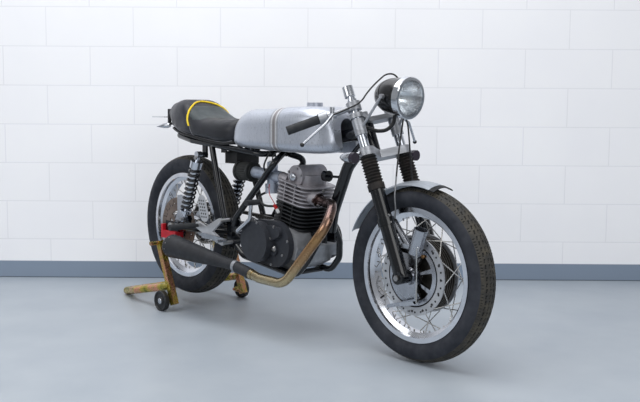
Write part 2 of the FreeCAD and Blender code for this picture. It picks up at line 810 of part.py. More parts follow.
def build_fork():
    spacing = S.fork_half_spacing
    leg = Part.makeCylinder(S.slider_radius, S.slider_top, Vector(0, -spacing, 0))
    boss = Part.makeCylinder(S.axle_boss_radius, S.axle_boss_half_width * 2,
                             Vector(0, -spacing - S.axle_boss_half_width, 0), Vector(0, 1, 0))
    bore = Part.makeCylinder(S.fork_tube_radius + S.seat_gap, S.slider_top,
                             Vector(0, -spacing, S.fork_tube_start))
    axle_hole = Part.makeCylinder(S.axle_radius + S.running_gap, spacing * 3, Vector(0, -spacing * 2, 0),
                                  Vector(0, 1, 0))
    slider = leg.fuse(boss).cut(bore).cut(axle_hole)
    in_fork("fork_sliders", pair(slider))

    top = S.fork_tube_top
    tube_solid = Part.makeCylinder(S.fork_tube_radius, top - S.fork_tube_start - S.cut_overrun,
                                   Vector(0, -spacing, S.fork_tube_start + S.cut_overrun))
    cap = Part.makeCylinder(S.fork_tube_radius * 0.8, S.fork_cap_height, Vector(0, -spacing, top))
    in_fork("fork_tubes", pair(tube_solid.fuse(cap)))

    ribs = 9
    low = S.slider_top + S.seat_gap
    inner = S.fork_tube_radius + S.seat_gap
    collar_inner = S.slider_radius + S.seat_gap
    collar_low = low - S.gaiter_collar_height
    pitch = (S.gaiter_top - low) / (ribs + 0.5)
    points = [(inner, low), (collar_inner, low), (collar_inner, collar_low), (S.gaiter_radius, collar_low),
              (S.gaiter_radius, low)]
    for number in range(ribs):
        base = low + pitch * (number + 0.5)
        points += [(S.gaiter_root_radius, base), (S.gaiter_radius, base + pitch * 0.5)]
    points += [(S.gaiter_root_radius, S.gaiter_top), (inner, S.gaiter_top)]
    gaiter = turned_body("gaiter_blank", points)
    doc.recompute()
    left = gaiter.Shape.copy()
    left.translate(Vector(0, spacing, 0))
    right = gaiter.Shape.copy()
    right.translate(Vector(0, -spacing, 0))
    in_fork("fork_gaiters", Part.Compound([left, right]))

    stem_place = Vector(-S.fork_offset, 0, 0)
    yokes = []
    for base, height, clamp in (
            (S.lower_yoke_base, S.yoke_height, S.yoke_clamp_radius),
            (S.top_yoke_base, S.top_yoke_height, S.yoke_clamp_radius - S.clip_on_wall / 3)):
        right_arm = link(stem_place, S.stem_boss_radius, Vector(0, -spacing, 0), clamp, height)
        left_arm = link(stem_place, S.stem_boss_radius, Vector(0, spacing, 0), clamp, height)
        yoke = right_arm.fuse(left_arm)
        yoke.translate(Vector(0, 0, base))
        for side in (-1, 1):
            yoke = yoke.cut(Part.makeCylinder(S.fork_tube_radius + S.running_gap, height * 3,
                                              Vector(0, side * spacing, base - height)))
        yokes.append(yoke)
    stem = Part.makeCylinder(S.stem_radius, S.stem_top - S.lower_yoke_base,
                             Vector(-S.fork_offset, 0, S.lower_yoke_base))
    nut = Part.makeCylinder(S.stem_radius * 1.5, S.stem_top - S.top_yoke_base - S.top_yoke_height,
                            Vector(-S.fork_offset, 0, S.top_yoke_base + S.top_yoke_height))
    in_fork("fork_yokes", fused(yokes + [stem, nut]))

    axle = Part.makeCylinder(S.axle_radius, (spacing + S.axle_boss_half_width) * 2 + S.cut_overrun * 2,
                             Vector(0, -spacing - S.axle_boss_half_width - S.cut_overrun, 0), Vector(0, 1, 0))
    drive_start = S.front_hub_left + S.front_left_flange_width * 2 + S.moving_gap
    drive_end = spacing - S.slider_radius - S.cut_overrun
    drive = Part.makeCylinder(S.speedometer_drive_radius, drive_end - drive_start, Vector(0, drive_start, 0),
                              Vector(0, 1, 0))
    in_fork("front_axle", fused([axle, drive]))


def bar_direction(side):
    """The way a bar points, out from its fork leg, backwards and down."""
    sweep = math.radians(S.bar_sweep_angle)
    drop = math.radians(S.bar_drop_angle)
    return Vector(-math.sin(sweep) * math.cos(drop), side * math.cos(sweep) * math.cos(drop), -math.sin(drop))


def build_bars():
    spacing = S.fork_half_spacing
    outer = S.fork_tube_radius + S.clip_on_wall
    clips, grips, levers = [], [], []
    middle = S.clip_on_base + S.clip_on_height / 2
    for side in (-1, 1):
        centre = fork_place(middle, 0, side * spacing)
        out = bar_direction(side)
        lower = fork_place(S.clip_on_base, 0, side * spacing)
        upper = fork_place(S.clip_on_base + S.clip_on_height, 0, side * spacing)
        clamp = rod(lower, upper, outer)
        bar = rod(centre, centre + out * S.bar_length, S.bar_radius)
        hole = rod(fork_place(S.clip_on_base - S.clip_on_height, 0, side * spacing),
                   fork_place(S.clip_on_base + S.clip_on_height * 2, 0, side * spacing),
                   S.fork_tube_radius + S.running_gap)
        start = S.bar_length - S.grip_length + S.grip_end_gap
        housing_end = start - S.seat_gap
        housing = rod(centre + out * (housing_end - S.throttle_length), centre + out * housing_end,
                      S.throttle_radius)
        clips.append(fused([clamp, bar, housing]).cut(hole))
        grip = rod(centre + out * start, centre + out * (S.bar_length + S.grip_end_gap), S.grip_radius)
        grip = grip.cut(rod(centre, centre + out * S.bar_length, S.bar_radius + S.seat_gap))
        grips.append(grip)
        perch_end = housing_end - S.throttle_length - S.grip_end_gap
        perch_from = centre + out * (perch_end - S.perch_length)
        perch = rod(perch_from, centre + out * perch_end, S.perch_radius)
        ahead = out.cross(Vector(0, 0, 1)).normalize() * (-side)
        if ahead.x < 0:
            ahead = ahead * -1
        pivot = perch_from + out * (S.perch_length / 2) + ahead * (S.perch_radius + S.lever_radius * 2)
        neck = rod(perch_from + out * (S.perch_length / 2), pivot, S.lever_radius * 1.6)
        knee = pivot + ahead * (S.lever_reach * 0.55) + out * (S.lever_length * 0.24) - Vector(0, 0,
                                                                                               S.lever_reach * 0.3)
        tip = pivot + ahead * (S.lever_reach * 0.8) + out * S.lever_length - Vector(0, 0, S.lever_reach)
        blade = tube([pivot, knee, tip], S.lever_radius)
        ball = Part.makeSphere(S.lever_ball_radius, tip)
        boss_middle = perch_from + out * (S.perch_length / 2) + ahead * S.mirror_boss_ahead
        boss_top = boss_middle + Vector(0, 0, S.perch_radius + S.mirror_boss_rise)
        boss = rod(boss_middle - Vector(0, 0, S.mirror_boss_drop), boss_top, S.mirror_boss_radius)
        lever = fused([perch, neck, blade, ball, boss])
        lever = lever.cut(rod(centre, centre + out * S.bar_length, S.bar_radius + S.running_gap))
        lever = lever.cut(rod(boss_top - Vector(0, 0, S.mirror_hole_depth), boss_top, S.mirror_hole_radius))
        levers.append(lever)
    made("clip_ons", Part.Compound(clips))
    made("grips", Part.Compound(grips))
    made("levers", Part.Compound(levers))

    seat = S.top_yoke_base + S.top_yoke_height
    foot = Vector(-S.fork_offset * 0.74, -S.gauge_offset, seat)
    post = Part.makeCylinder(S.stem_radius * 0.6, S.gauge_rise, foot)
    cup = Part.makeCylinder(S.gauge_radius, S.gauge_height, foot + Vector(0, 0, S.gauge_rise))
    in_fork("gauge", fused([post, cup]))


def build_headlight():
    radius = S.headlight_radius
    ring = S.headlight_ring_depth
    back = -S.headlight_depth
    tilt = Rotation(Vector(0, 1, 0), 90 + S.headlight_tilt)
    place = (headlight_x, 0, S.headlight_z)
    wall = S.headlight_ring_wall
    shell_radius = radius - wall
    shell_points = [(0, back), (shell_radius * 0.55, back * 0.93), (shell_radius * 0.88, back * 0.68),
                    (shell_radius, back * 0.3), (shell_radius, -ring - S.seat_gap)]
    shell = smooth_turn(shell_points, [(0, -ring - S.seat_gap)])
    made("headlight_shell", shell, place, tilt)
    rim = turned_body("headlight_ring", [
        (radius - wall * 2, -ring), (radius, -ring), (radius, -wall / 2), (radius - wall / 2, 0),
        (radius - wall * 2, 0),
    ])
    keep("headlight_ring", rim, place, tilt)
    lens_radius = radius - wall * 2 - S.seat_gap
    ball = (lens_radius ** 2 + S.lens_bulge ** 2) / (2 * S.lens_bulge)
    dome = Part.makeSphere(ball, Vector(0, 0, S.lens_bulge - ball))
    dome = dome.common(Part.makeCylinder(lens_radius, S.lens_bulge * 2, Vector(0, 0, -S.lens_bulge / 2)))
    dome = dome.fuse(Part.makeCylinder(lens_radius, S.lens_thickness, Vector(0, 0, -S.lens_thickness)))
    made("headlight_lens", dome.removeSplitter(), place, tilt)

    brackets = []
    centre = Vector(headlight_x, 0, S.headlight_z)
    backwards = tilt.multVec(Vector(0, 0, -1))
    bolt_place = centre + backwards * (S.headlight_depth * 0.45)
    for side in (-1, 1):
        low = S.top_yoke_base - S.lamp_bracket_height - S.cut_overrun
        sleeve_low = fork_place(low, 0, side * S.fork_half_spacing)
        sleeve_high = fork_place(low + S.lamp_bracket_height, 0, side * S.fork_half_spacing)
        sleeve = rod(sleeve_low, sleeve_high, S.fork_tube_radius + S.lamp_bracket_thickness)
        arm_from = fork_place(low + S.lamp_bracket_height / 2, S.fork_tube_radius, side * S.fork_half_spacing)
        arm_to = Vector(bolt_place.x, side * (shell_radius + S.lamp_bracket_thickness * 2), bolt_place.z)
        arm = rod(arm_from, arm_to, S.lamp_bracket_thickness)
        bolt = rod(Vector(bolt_place.x, side * (shell_radius + S.seat_gap), bolt_place.z),
                   Vector(bolt_place.x, side * (shell_radius + S.lamp_bracket_thickness * 3), bolt_place.z),
                   S.lamp_bracket_thickness * 1.6)
        bracket = fused([sleeve, arm, bolt])
        bracket = bracket.cut(rod(fork_place(low - S.cut_overrun, 0, side * S.fork_half_spacing),
                                  fork_place(S.top_yoke_base, 0, side * S.fork_half_spacing),
                                  S.fork_tube_radius + S.running_gap))
        brackets.append(bracket)
    made("headlight_brackets", Part.Compound(brackets))

    lamps = []
    for side in (-1, 1):
        root = fork_place(S.lower_yoke_base + S.yoke_height / 2, -S.cut_overrun,
                          side * (S.fork_half_spacing + S.yoke_clamp_radius))
        centre = Vector(root.x - S.indicator_length * 0.23,
                        side * (S.front_indicator_spread + S.indicator_radius),
                        root.z - S.indicator_radius * 0.85)
        stalk = rod(root + Vector(0, side * S.seat_gap, 0), centre, S.indicator_stalk_radius)
        bullet = smooth_turn([(0, -S.indicator_length / 2),
                              (S.indicator_radius * 0.7, -S.indicator_length * 0.25),
                              (S.indicator_radius, S.indicator_length * 0.1),
                              (S.indicator_radius,
                               S.indicator_length * 0.4)], [(0, S.indicator_length * 0.4)])
        bullet.Placement = Placement(centre, Rotation(Vector(0, 1, 0), 90))
        lamps.append(stalk.fuse(bullet).cut(placed("fork_yokes")))
    made("front_indicators", Part.Compound(lamps))


def build_front_brake():
    bore = S.axle_radius + S.running_gap
    face = S.drum_flange_face
    radius = S.brake_plate_radius
    wall = S.brake_plate_wall
    boss = S.brake_plate_boss_radius
    plate = turned_body("brake_plate_blank", [
        (bore, -(face - wall)), (radius, -(face - wall)), (radius, -face), (radius * 0.6, -face - wall),
        (boss * 1.2, -face - wall * 2), (boss, -face - wall * 3), (boss, -S.brake_plate_boss_face),
        (bore, -S.brake_plate_boss_face),
    ])
    doc.recompute()
    shape = plate.Shape.copy()
    opening_inner = boss * 1.6
    for start, stop in ((-58, -22), (-12, 26), (36, 62)):
        wedge = Part.makeCylinder(S.brake_opening_radius, S.brake_plate_boss_face * 2,
                                  Vector(0, 0, -S.brake_plate_boss_face * 2), Vector(0, 0, 1), stop - start)
        wedge.rotate(Vector(0, 0, 0), Vector(0, 0, 1), start)
        core = Part.makeCylinder(opening_inner, S.brake_plate_boss_face * 3,
                                 Vector(0, 0, -S.brake_plate_boss_face * 3))
        shape = shape.cut(wedge.cut(core))
    plane = -S.brake_arm_plane
    thick = S.brake_arm_thickness
    posts = []
    pivot_top = Vector(radius * 0.34, -radius * 0.78, 0)
    pivot_low = Vector(radius * 0.34, radius * 0.78, 0)
    for pivot in (pivot_top, pivot_low):
        posts.append(Part.makeCylinder(S.brake_arm_width, S.brake_arm_plane - face + thick,
                                       Vector(pivot.x, pivot.y, plane - thick / 2)))
    arms = [
        link(pivot_top, S.brake_arm_width, Vector(-radius * 0.4, -radius * 0.86, 0),
             S.brake_arm_width * 0.7, thick),
        link(pivot_low, S.brake_arm_width, Vector(-radius * 0.86, radius * 1.12, 0),
             S.brake_arm_width * 0.7, thick),
        link(pivot_top, S.brake_arm_width * 0.6, pivot_low, S.brake_arm_width * 0.6, thick),
    ]
    for arm in arms:
        arm.translate(Vector(0, 0, plane))
    scoop_plane = -face - S.scoop_radius - S.cut_overrun * 0.6
    scoop_root = Vector(radius * 0.30, -radius * 0.80, scoop_plane)
    scoop_mouth = Vector(radius * 0.57, -radius * 1.60, scoop_plane)
    scoop = rod(scoop_root, scoop_mouth, S.scoop_radius)
    neck = rod(scoop_root, Vector(scoop_root.x, scoop_root.y, -face), S.scoop_radius * 0.8)
    hollow = rod(scoop_root + (scoop_mouth - scoop_root) * 0.35, scoop_mouth + (scoop_mouth - scoop_root),
                 S.scoop_radius - S.scoop_wall)
    scoop = scoop.fuse(neck).cut(hollow)
    shape = fused([shape, scoop] + posts + arms)
    shape.Placement = Placement(Vector(S.wheelbase, 0, front_axle_z), ALONG_LEFT)
    made("brake_plate", fused([shape, torque_strap()]))


def torque_strap():
    """The sleeve clamped on the right fork leg, and the rod that stops the brake plate from turning."""
    face = S.drum_flange_face
    wall = S.brake_plate_wall
    clamp_at = S.slider_top * 0.55
    sleeve = Part.makeCylinder(S.slider_radius + S.brake_arm_thickness, S.brake_arm_width * 3,
                               Vector(0, -S.fork_half_spacing, clamp_at))
    start = Vector(S.slider_radius * 0.5, -S.fork_half_spacing + S.slider_radius,
                   clamp_at + S.brake_arm_width * 1.5)
    end = Vector(S.slider_radius * 1.5, -face - wall * 2.5, S.brake_plate_radius * 0.8)
    arm = rod(start, end, S.torque_arm_radius)
    strap = fused([sleeve, arm]).cut(Part.makeCylinder(S.slider_radius + S.running_gap, S.slider_top,
                                                       Vector(0, -S.fork_half_spacing, 0)))
    strap.Placement = Placement(Vector(S.wheelbase, 0, front_axle_z), RAKED)
    return strap


def build_mudguard():
    """A plain blade of one curved section, bent round the front tyre."""
    inner = S.front_tyre_radius + S.mudguard_gap
    half = S.mudguard_half_width
    crown = S.mudguard_crown
    wall = S.mudguard_wall
    outer_arc = Part.Arc(Vector(inner - crown, 0, -half), Vector(inner + wall, 0, 0),
                         Vector(inner - crown, 0, half))
    inner_arc = Part.Arc(Vector(inner - crown - wall, 0, -half + wall), Vector(inner, 0, 0),
                         Vector(inner - crown - wall, 0, half - wall))
    sides = [Part.LineSegment(outer_arc.StartPoint, inner_arc.StartPoint),
             Part.LineSegment(outer_arc.EndPoint, inner_arc.EndPoint)]
    wire = Part.Wire(Part.__sortEdges__([edge.toShape() for edge in [outer_arc, inner_arc] + sides]))
    blade = Part.Face(wire).revolve(Vector(0, 0, 0), Vector(0, 0, 1),
                                    S.mudguard_rear_angle - S.mudguard_front_angle)
    blade.rotate(Vector(0, 0, 0), Vector(0, 0, 1), -S.mudguard_rear_angle)
    blade.Placement = Placement(Vector(0, 0, 0), ALONG_LEFT).multiply(blade.Placement)
    stays = []
    for side in (-1, 1):
        leg = Vector(0, side * (S.fork_half_spacing - S.slider_radius - S.seat_gap),
                     S.slider_top * 0.9)
        stay = rod(RAKED.multVec(leg), RAKED.multVec(Vector(0, side * half * 0.9, S.slider_top * 0.945)),
                   S.mudguard_wall * 1.6)
        stays.append(stay)
    guard = fused([blade] + stays)
    guard.translate(Vector(S.wheelbase, 0, front_axle_z))
    made("front_mudguard", guard.cut(placed("fork_sliders")))


# Frame, swingarm and shocks

SPINE_SHARES = [(0.743, 0, 1.085), (0.640, 0, 1.055), (0.455, 0, 1.014)]
# Shares of the engine case's length ahead of its rear end and of its height above its base
DOWNTUBE_CASE_SHARES = [(1.52, 0, 2.22), (1.265, 0, 1.27), (1.215, 0, 0.86)]
CRADLE_CASE_SHARES = [(1.215, 0.18, 0.95), (1.18, 0.56, 0.62), (1.09, 0.80, 0.24), (0.90, 0.86, -0.08),
                      (-0.11, 1.00, 0.16), (-0.27, 0.98, 0.34)]
SIDE_TUBE_B_SHARES = [(0.478, 0.16, 0.972), (0.500, 0.72, 0.942), (0.335, 0.98, 0.600), (0.328, 0.98, 0.555)]
SIDE_TUBE_A_SHARES = [(0.207, 0.878, 1.003), (0.275, 0.98, 0.610), (0.287, 0.98, 0.555)]
RAIL_SHARES = [(0.455, 0.25, 0.972), (0.425, 0.80, 0.972), (0.330, 0.86, 0.991), (0.210, 0.88, 1.013),
               (0.100, 0.86, 1.030), (0.004, 0.64, 1.055), (-0.022, 0.30, 1.066), (-0.022, 0, 1.066)]
TANK_BUFFER_SHARE = (0.400, 0.816, 0.977)
PIVOT_PLATE_SHARES = [(-0.34, 0.64), (0.30, 0.66), (0.80, 0.34), (0.80, 0.04), (0.50, -0.30), (0.24, -0.50),
                      (-0.16, -0.52), (-0.36, -0.10)]


def case_places(shares):
    """Tube points beside the engine, as shares of the case's length, the frame's half width and its height."""
    return [Vector(S.case_start_x + x * S.case_length, y * S.frame_half_width,
                   S.case_base_z + z * S.case_height)
            for x, y, z in shares]


def head_place(share):
    """A point on the steering axis, as a share of the way from the lower yoke to the top one."""
    low = S.lower_yoke_base + S.yoke_height
    return fork_place(low + (S.top_yoke_base - low) * share, -S.fork_offset)


def case_downtube(radius):
    gusset = head_place(0.46) - Vector(S.downtube_radius * 2.6, 0, S.downtube_radius * 2.2)
    return tube([head_place(0.46), gusset] + case_places(DOWNTUBE_CASE_SHARES), radius, S.downtube_radius * 4)


def cradle_tubes(radius):
    tubes = []
    for side in (1, -1):
        points = [Vector(point.x, point.y * side, point.z) for point in case_places(CRADLE_CASE_SHARES)]
        tubes.append(tube(points, radius, S.cradle_radius * 5))
    return tubes


def tank_buffers(gap):
    """The two pegs on the rails that the tank's rear rests on, larger by a gap where the tank is cut for them."""
    root = frame_places([TANK_BUFFER_SHARE])[0]
    top = tank_base_z + S.tank_buffer_rise + gap
    return [rod(Vector(root.x, side * root.y, root.z), Vector(root.x, side * root.y, top),
                S.tank_buffer_radius + gap) for side in (-1, 1)]


def build_frame():
    head = rod(fork_place(S.lower_yoke_base + S.yoke_height + S.cut_overrun, -S.fork_offset),
               fork_place(S.top_yoke_base - S.cut_overrun, -S.fork_offset), S.head_tube_radius)
    stem_hole = rod(fork_place(S.lower_yoke_base, -S.fork_offset), fork_place(S.stem_top, -S.fork_offset),
                    S.stem_radius + S.running_gap)
    spine = tube([head_place(0.68)] + frame_places(SPINE_SHARES), S.spine_radius)
    back = frame_places(SPINE_SHARES)[-1]
    cross = rod(back - Vector(0, S.frame_half_width * 0.28, 0),
                back + Vector(0, S.frame_half_width * 0.28, 0),
                S.spine_radius)
    spine = fused([head, spine, cross])
    spine = spine.cut(stem_hole)
    made("frame_spine", spine)

    downtube = case_downtube(S.downtube_radius).cut(spine).cut(stem_hole)

    cradle = cradle_tubes(S.cradle_radius)
    bottom = case_places(CRADLE_CASE_SHARES)[3] - Vector(S.cradle_radius * 4, 0, 0)
    cross = rod(Vector(bottom.x, -bottom.y, bottom.z), bottom, S.cradle_radius * 0.8)
    plates = pivot_plates()
    cradle = fused(cradle + [cross]).cut(plates)
    lugs = []
    for side in (1, -1):
        near, far = sorted((side * S.frame_half_width * 0.18, side * S.frame_half_width * 0.26))
        lugs.append(block(Vector(S.case_start_x + S.case_length * 0.9, near,
                                 S.case_base_z + S.case_height * 0.62),
                          Vector(S.case_start_x + S.case_length * 1.22, far,
                                 S.case_base_z + S.case_height * 0.82)))
    lugs = [lug.cut(placed("engine_cases")) for lug in lugs]
    horn_at = Vector(S.horn_x, 0, S.horn_z)
    horn_back = horn_at + Vector(S.horn_depth, 0, 0)
    stay_end = Vector(case_places(DOWNTUBE_CASE_SHARES)[0].x, 0, S.horn_z)
    horn = [rod(horn_at, horn_back, S.horn_radius), rod(horn_back, stay_end, S.horn_stay_radius)]
    made("frame_cradle", fused([cradle, downtube] + lugs + horn))

    sides = []
    for side in (1, -1):
        for shares in (SIDE_TUBE_B_SHARES, SIDE_TUBE_A_SHARES):
            points = [Vector(point.x, point.y * side, point.z) for point in frame_places(shares)]
            sides.append(tube(points, S.side_tube_radius, S.side_tube_radius * 3))
    rails = []
    for side in (1, -1):
        points = [Vector(point.x, point.y * side, point.z) for point in frame_places(RAIL_SHARES)]
        rails.append(tube(points, S.rail_radius, S.rail_radius * 4))
    for rail in rails:
        sides = [largest(tube_part.cut(rail)) for tube_part in sides]
    rails = fused(rails).cut(spine)
    mounts = []
    for side in (1, -1):
        pin_end = Vector(S.shock_top_x, side * (S.shock_plane - S.shock_eye_width / 2 - S.seat_gap),
                         shock_top_z)
        pin_root = Vector(S.shock_top_x, side * S.frame_half_width * 0.8, shock_top_z)
        mounts.append(rod(pin_root, pin_end, S.shock_eye_radius * 0.8))
        near, far = sorted((side * S.frame_half_width * 0.83, side * S.frame_half_width * 0.92))
        mounts.append(block(Vector(S.shock_top_x - S.shock_eye_radius, near,
                                   shock_top_z - S.shock_eye_radius),
                            Vector(S.shock_top_x + S.shock_eye_radius, far, S.rail_height * 1.02)))
    rails = fused([rails] + mounts + tank_buffers(0))
    made("seat_rails", rails)
    sides = [largest(side.cut(rails).cut(spine)) for side in sides]
    made("frame_sides", fused(sides + [plates]))


def pivot_plates():
    """The two plates that carry the swingarm's pivot, and its bolt."""
    points = [(x * S.frame_half_width, z * S.frame_half_width) for x, z in PIVOT_PLATE_SHARES]
    corners = [Vector(S.pivot_x + x, 0, S.pivot_z + z) for x, z in points]
    corners.append(corners[0])
    outer = S.pivot_half_width + S.pivot_plate_thickness + S.seat_gap
    plate = Part.Face(Part.makePolygon(corners)).extrude(Vector(0, S.pivot_plate_thickness, 0))
    right, left = plate.copy(), plate.copy()
    right.translate(Vector(0, -outer, 0))
    left.translate(Vector(0, outer - S.pivot_plate_thickness, 0))
    bolt = rod(Vector(S.pivot_x, -outer - S.pivot_bolt_radius, S.pivot_z),
               Vector(S.pivot_x, outer + S.pivot_bolt_radius, S.pivot_z), S.pivot_bolt_radius)
    return fused([right, left, bolt]).cut(placed("engine_cases"))


def build_swingarm():
    spacing = S.swingarm_half_spacing
    pivot = Vector(S.pivot_x, 0, S.pivot_z)
    half = S.pivot_half_width
    barrel = rod(pivot - Vector(0, half, 0), pivot + Vector(0, half, 0), S.pivot_boss_radius)
    pieces = [barrel]
    for side in (-1, 1):
        start = Vector(S.pivot_x, side * (half - S.swingarm_radius * 1.2), S.pivot_z)
        end = Vector(S.axle_plate_half_height * 1.6, side * spacing, rear_axle_z)
        inner = Vector(S.pivot_x * 0.84, start.y, S.pivot_z + S.cut_overrun / 2)
        pieces.append(tube([start, inner,
                            Vector(S.pivot_x * 0.6, side * spacing, S.pivot_z + S.cut_overrun), end],
                           S.swingarm_radius))
        thick = S.axle_plate_thickness
        plate = block(Vector(-S.axle_plate_half_height * 2.2, side * spacing - thick / 2,
                             rear_axle_z - S.axle_plate_half_height),
                      Vector(S.axle_plate_half_height * 2.2, side * spacing + thick / 2,
                             rear_axle_z + S.axle_plate_half_height))
        pieces.append(plate)
        lug_half = S.shock_eye_radius
        pieces.append(block(Vector(S.shock_foot_x - lug_half, side * spacing - S.axle_plate_thickness / 2,
                                   S.pivot_z),
                            Vector(S.shock_foot_x + lug_half, side * spacing + S.axle_plate_thickness / 2,
                                   S.shock_foot_z + lug_half)))
        pin_to = Vector(S.shock_foot_x, side * (S.shock_plane - S.shock_eye_width / 2 - S.seat_gap),
                        S.shock_foot_z)
        pieces.append(rod(Vector(S.shock_foot_x, side * (spacing - S.axle_plate_thickness), S.shock_foot_z),
                          pin_to,
                          S.shock_eye_radius * 0.8))
    arm = fused(pieces)
    arm = arm.cut(rod(pivot - Vector(0, half * 2, 0), pivot + Vector(0, half * 2, 0),
                      S.pivot_bolt_radius + S.running_gap))
    arm = arm.cut(rod(Vector(0, -spacing * 2, rear_axle_z), Vector(0, spacing * 2, rear_axle_z),
                      S.rear_axle_radius + S.running_gap))
    made("swingarm", arm)
    end = spacing + thick / 2 + S.rear_axle_radius
    axle = rod(Vector(0, -end, rear_axle_z), Vector(0, end, rear_axle_z), S.rear_axle_radius)
    nuts = []
    for side in (-1, 1):
        face = side * (spacing + thick / 2 + S.seat_gap)
        nuts.append(rod(Vector(0, face, rear_axle_z), Vector(0, side * end, rear_axle_z),
                        S.rear_axle_radius * 1.7))
    made("rear_axle", fused([axle] + nuts))


def build_shocks():
    top = Vector(S.shock_top_x, 0, shock_top_z)
    foot = Vector(S.shock_foot_x, 0, S.shock_foot_z)
    length = (top - foot).Length
    lean = Rotation(Vector(0, 0, 1), top - foot)
    spring_low = length * 0.14
    spring_high = length * 0.80
    eye_half = S.shock_eye_width / 2
    bodies, springs = [], []
    pitch = (spring_high - spring_low) / S.spring_turns
    for side in (-1, 1):
        body = Part.makeCylinder(S.shock_body_radius, length * 0.62, Vector(0, 0, length * 0.18))
        stem = Part.makeCylinder(S.shock_body_radius * 0.5, length, Vector(0, 0, 0))
        cap = Part.makeCylinder(S.shock_cap_radius, length * 0.1, Vector(0, 0, spring_high + S.seat_gap))
        foot_cap = Part.makeCylinder(S.shock_cap_radius * 0.95, length * 0.035,
                                     Vector(0, 0, spring_low - length * 0.035 - S.seat_gap))
        eyes = []
        for height in (0, length):
            eyes.append(Part.makeCylinder(S.shock_eye_radius, S.shock_eye_width, Vector(0, -eye_half, height),
                                          Vector(0, 1, 0)))
        shock = fused([body, stem, cap, foot_cap] + eyes)
        shock.Placement = Placement(foot + Vector(0, side * S.shock_plane, 0), lean)
        bodies.append(shock)
        inner = S.shock_body_radius + S.seat_gap
        root = S.spring_radius - S.spring_wire_radius
        corners = [Vector(inner, 0, spring_low)]
        for number in range(int(S.spring_turns)):
            corners += [Vector(root, 0, spring_low + pitch * number),
                        Vector(S.spring_radius, 0, spring_low + pitch * (number + 0.5))]
        corners += [Vector(root, 0, spring_high), Vector(inner, 0, spring_high), corners[0]]
        spring = Part.Face(Part.makePolygon(corners)).revolve(Vector(0, 0, 0), Vector(0, 0, 1), 360)
        spring.Placement = Placement(foot + Vector(0, side * S.shock_plane, 0), lean)
        springs.append(spring)
    made("shocks", Part.Compound(bodies))
    made("shock_springs", Part.Compound(springs))


# Engine, intake and exhaust

CASE_SHARES = [(-0.06, 0.22), (-0.10, 0.62), (0.06, 0.90), (0.30, 1.00), (0.78, 0.94), (0.94, 0.80),
               (1.02, 0.52),
               (0.94, 0.16), (0.74, 0.0), (0.20, 0.03)]


def fin_plate(half, corner, thickness, base):
    """A square plate with round corners, standing on Z = base."""
    flat = half - corner
    cut = half - corner * (1 - math.sqrt(0.5))
    edges = []
    for number in range(4):
        turn = Rotation(Vector(0, 0, 1), 90 * number)
        first = turn.multVec(Vector(half, -flat, base))
        second = turn.multVec(Vector(half, flat, base))
        middle = turn.multVec(Vector(cut, cut, base))
        third = turn.multVec(Vector(flat, half, base))
        edges.append(Part.LineSegment(first, second).toShape())
        edges.append(Part.Arc(second, middle, third).toShape())
    return Part.Face(Part.Wire(edges)).extrude(Vector(0, 0, thickness))


def finned_block(core, half, corner, height, count, fin):
    """A core with evenly spaced fins, the lowest on its foot and the highest on its top."""
    pieces = [fin_plate(core, corner * 0.7, height, 0)]
    pitch = (height - fin) / (count - 1)
    for number in range(count):
        pieces.append(fin_plate(half, corner, fin, pitch * number))
    rib = S.fin_rib_width / 2
    for place in (-half * 0.34, half * 0.30):
        for side in (-1, 1):
            near, far = sorted((side * core * 0.9, side * (half - fin)))
            pieces.append(block(Vector(place - rib, near, 0), Vector(place + rib, far, height)))
    return fused(pieces)


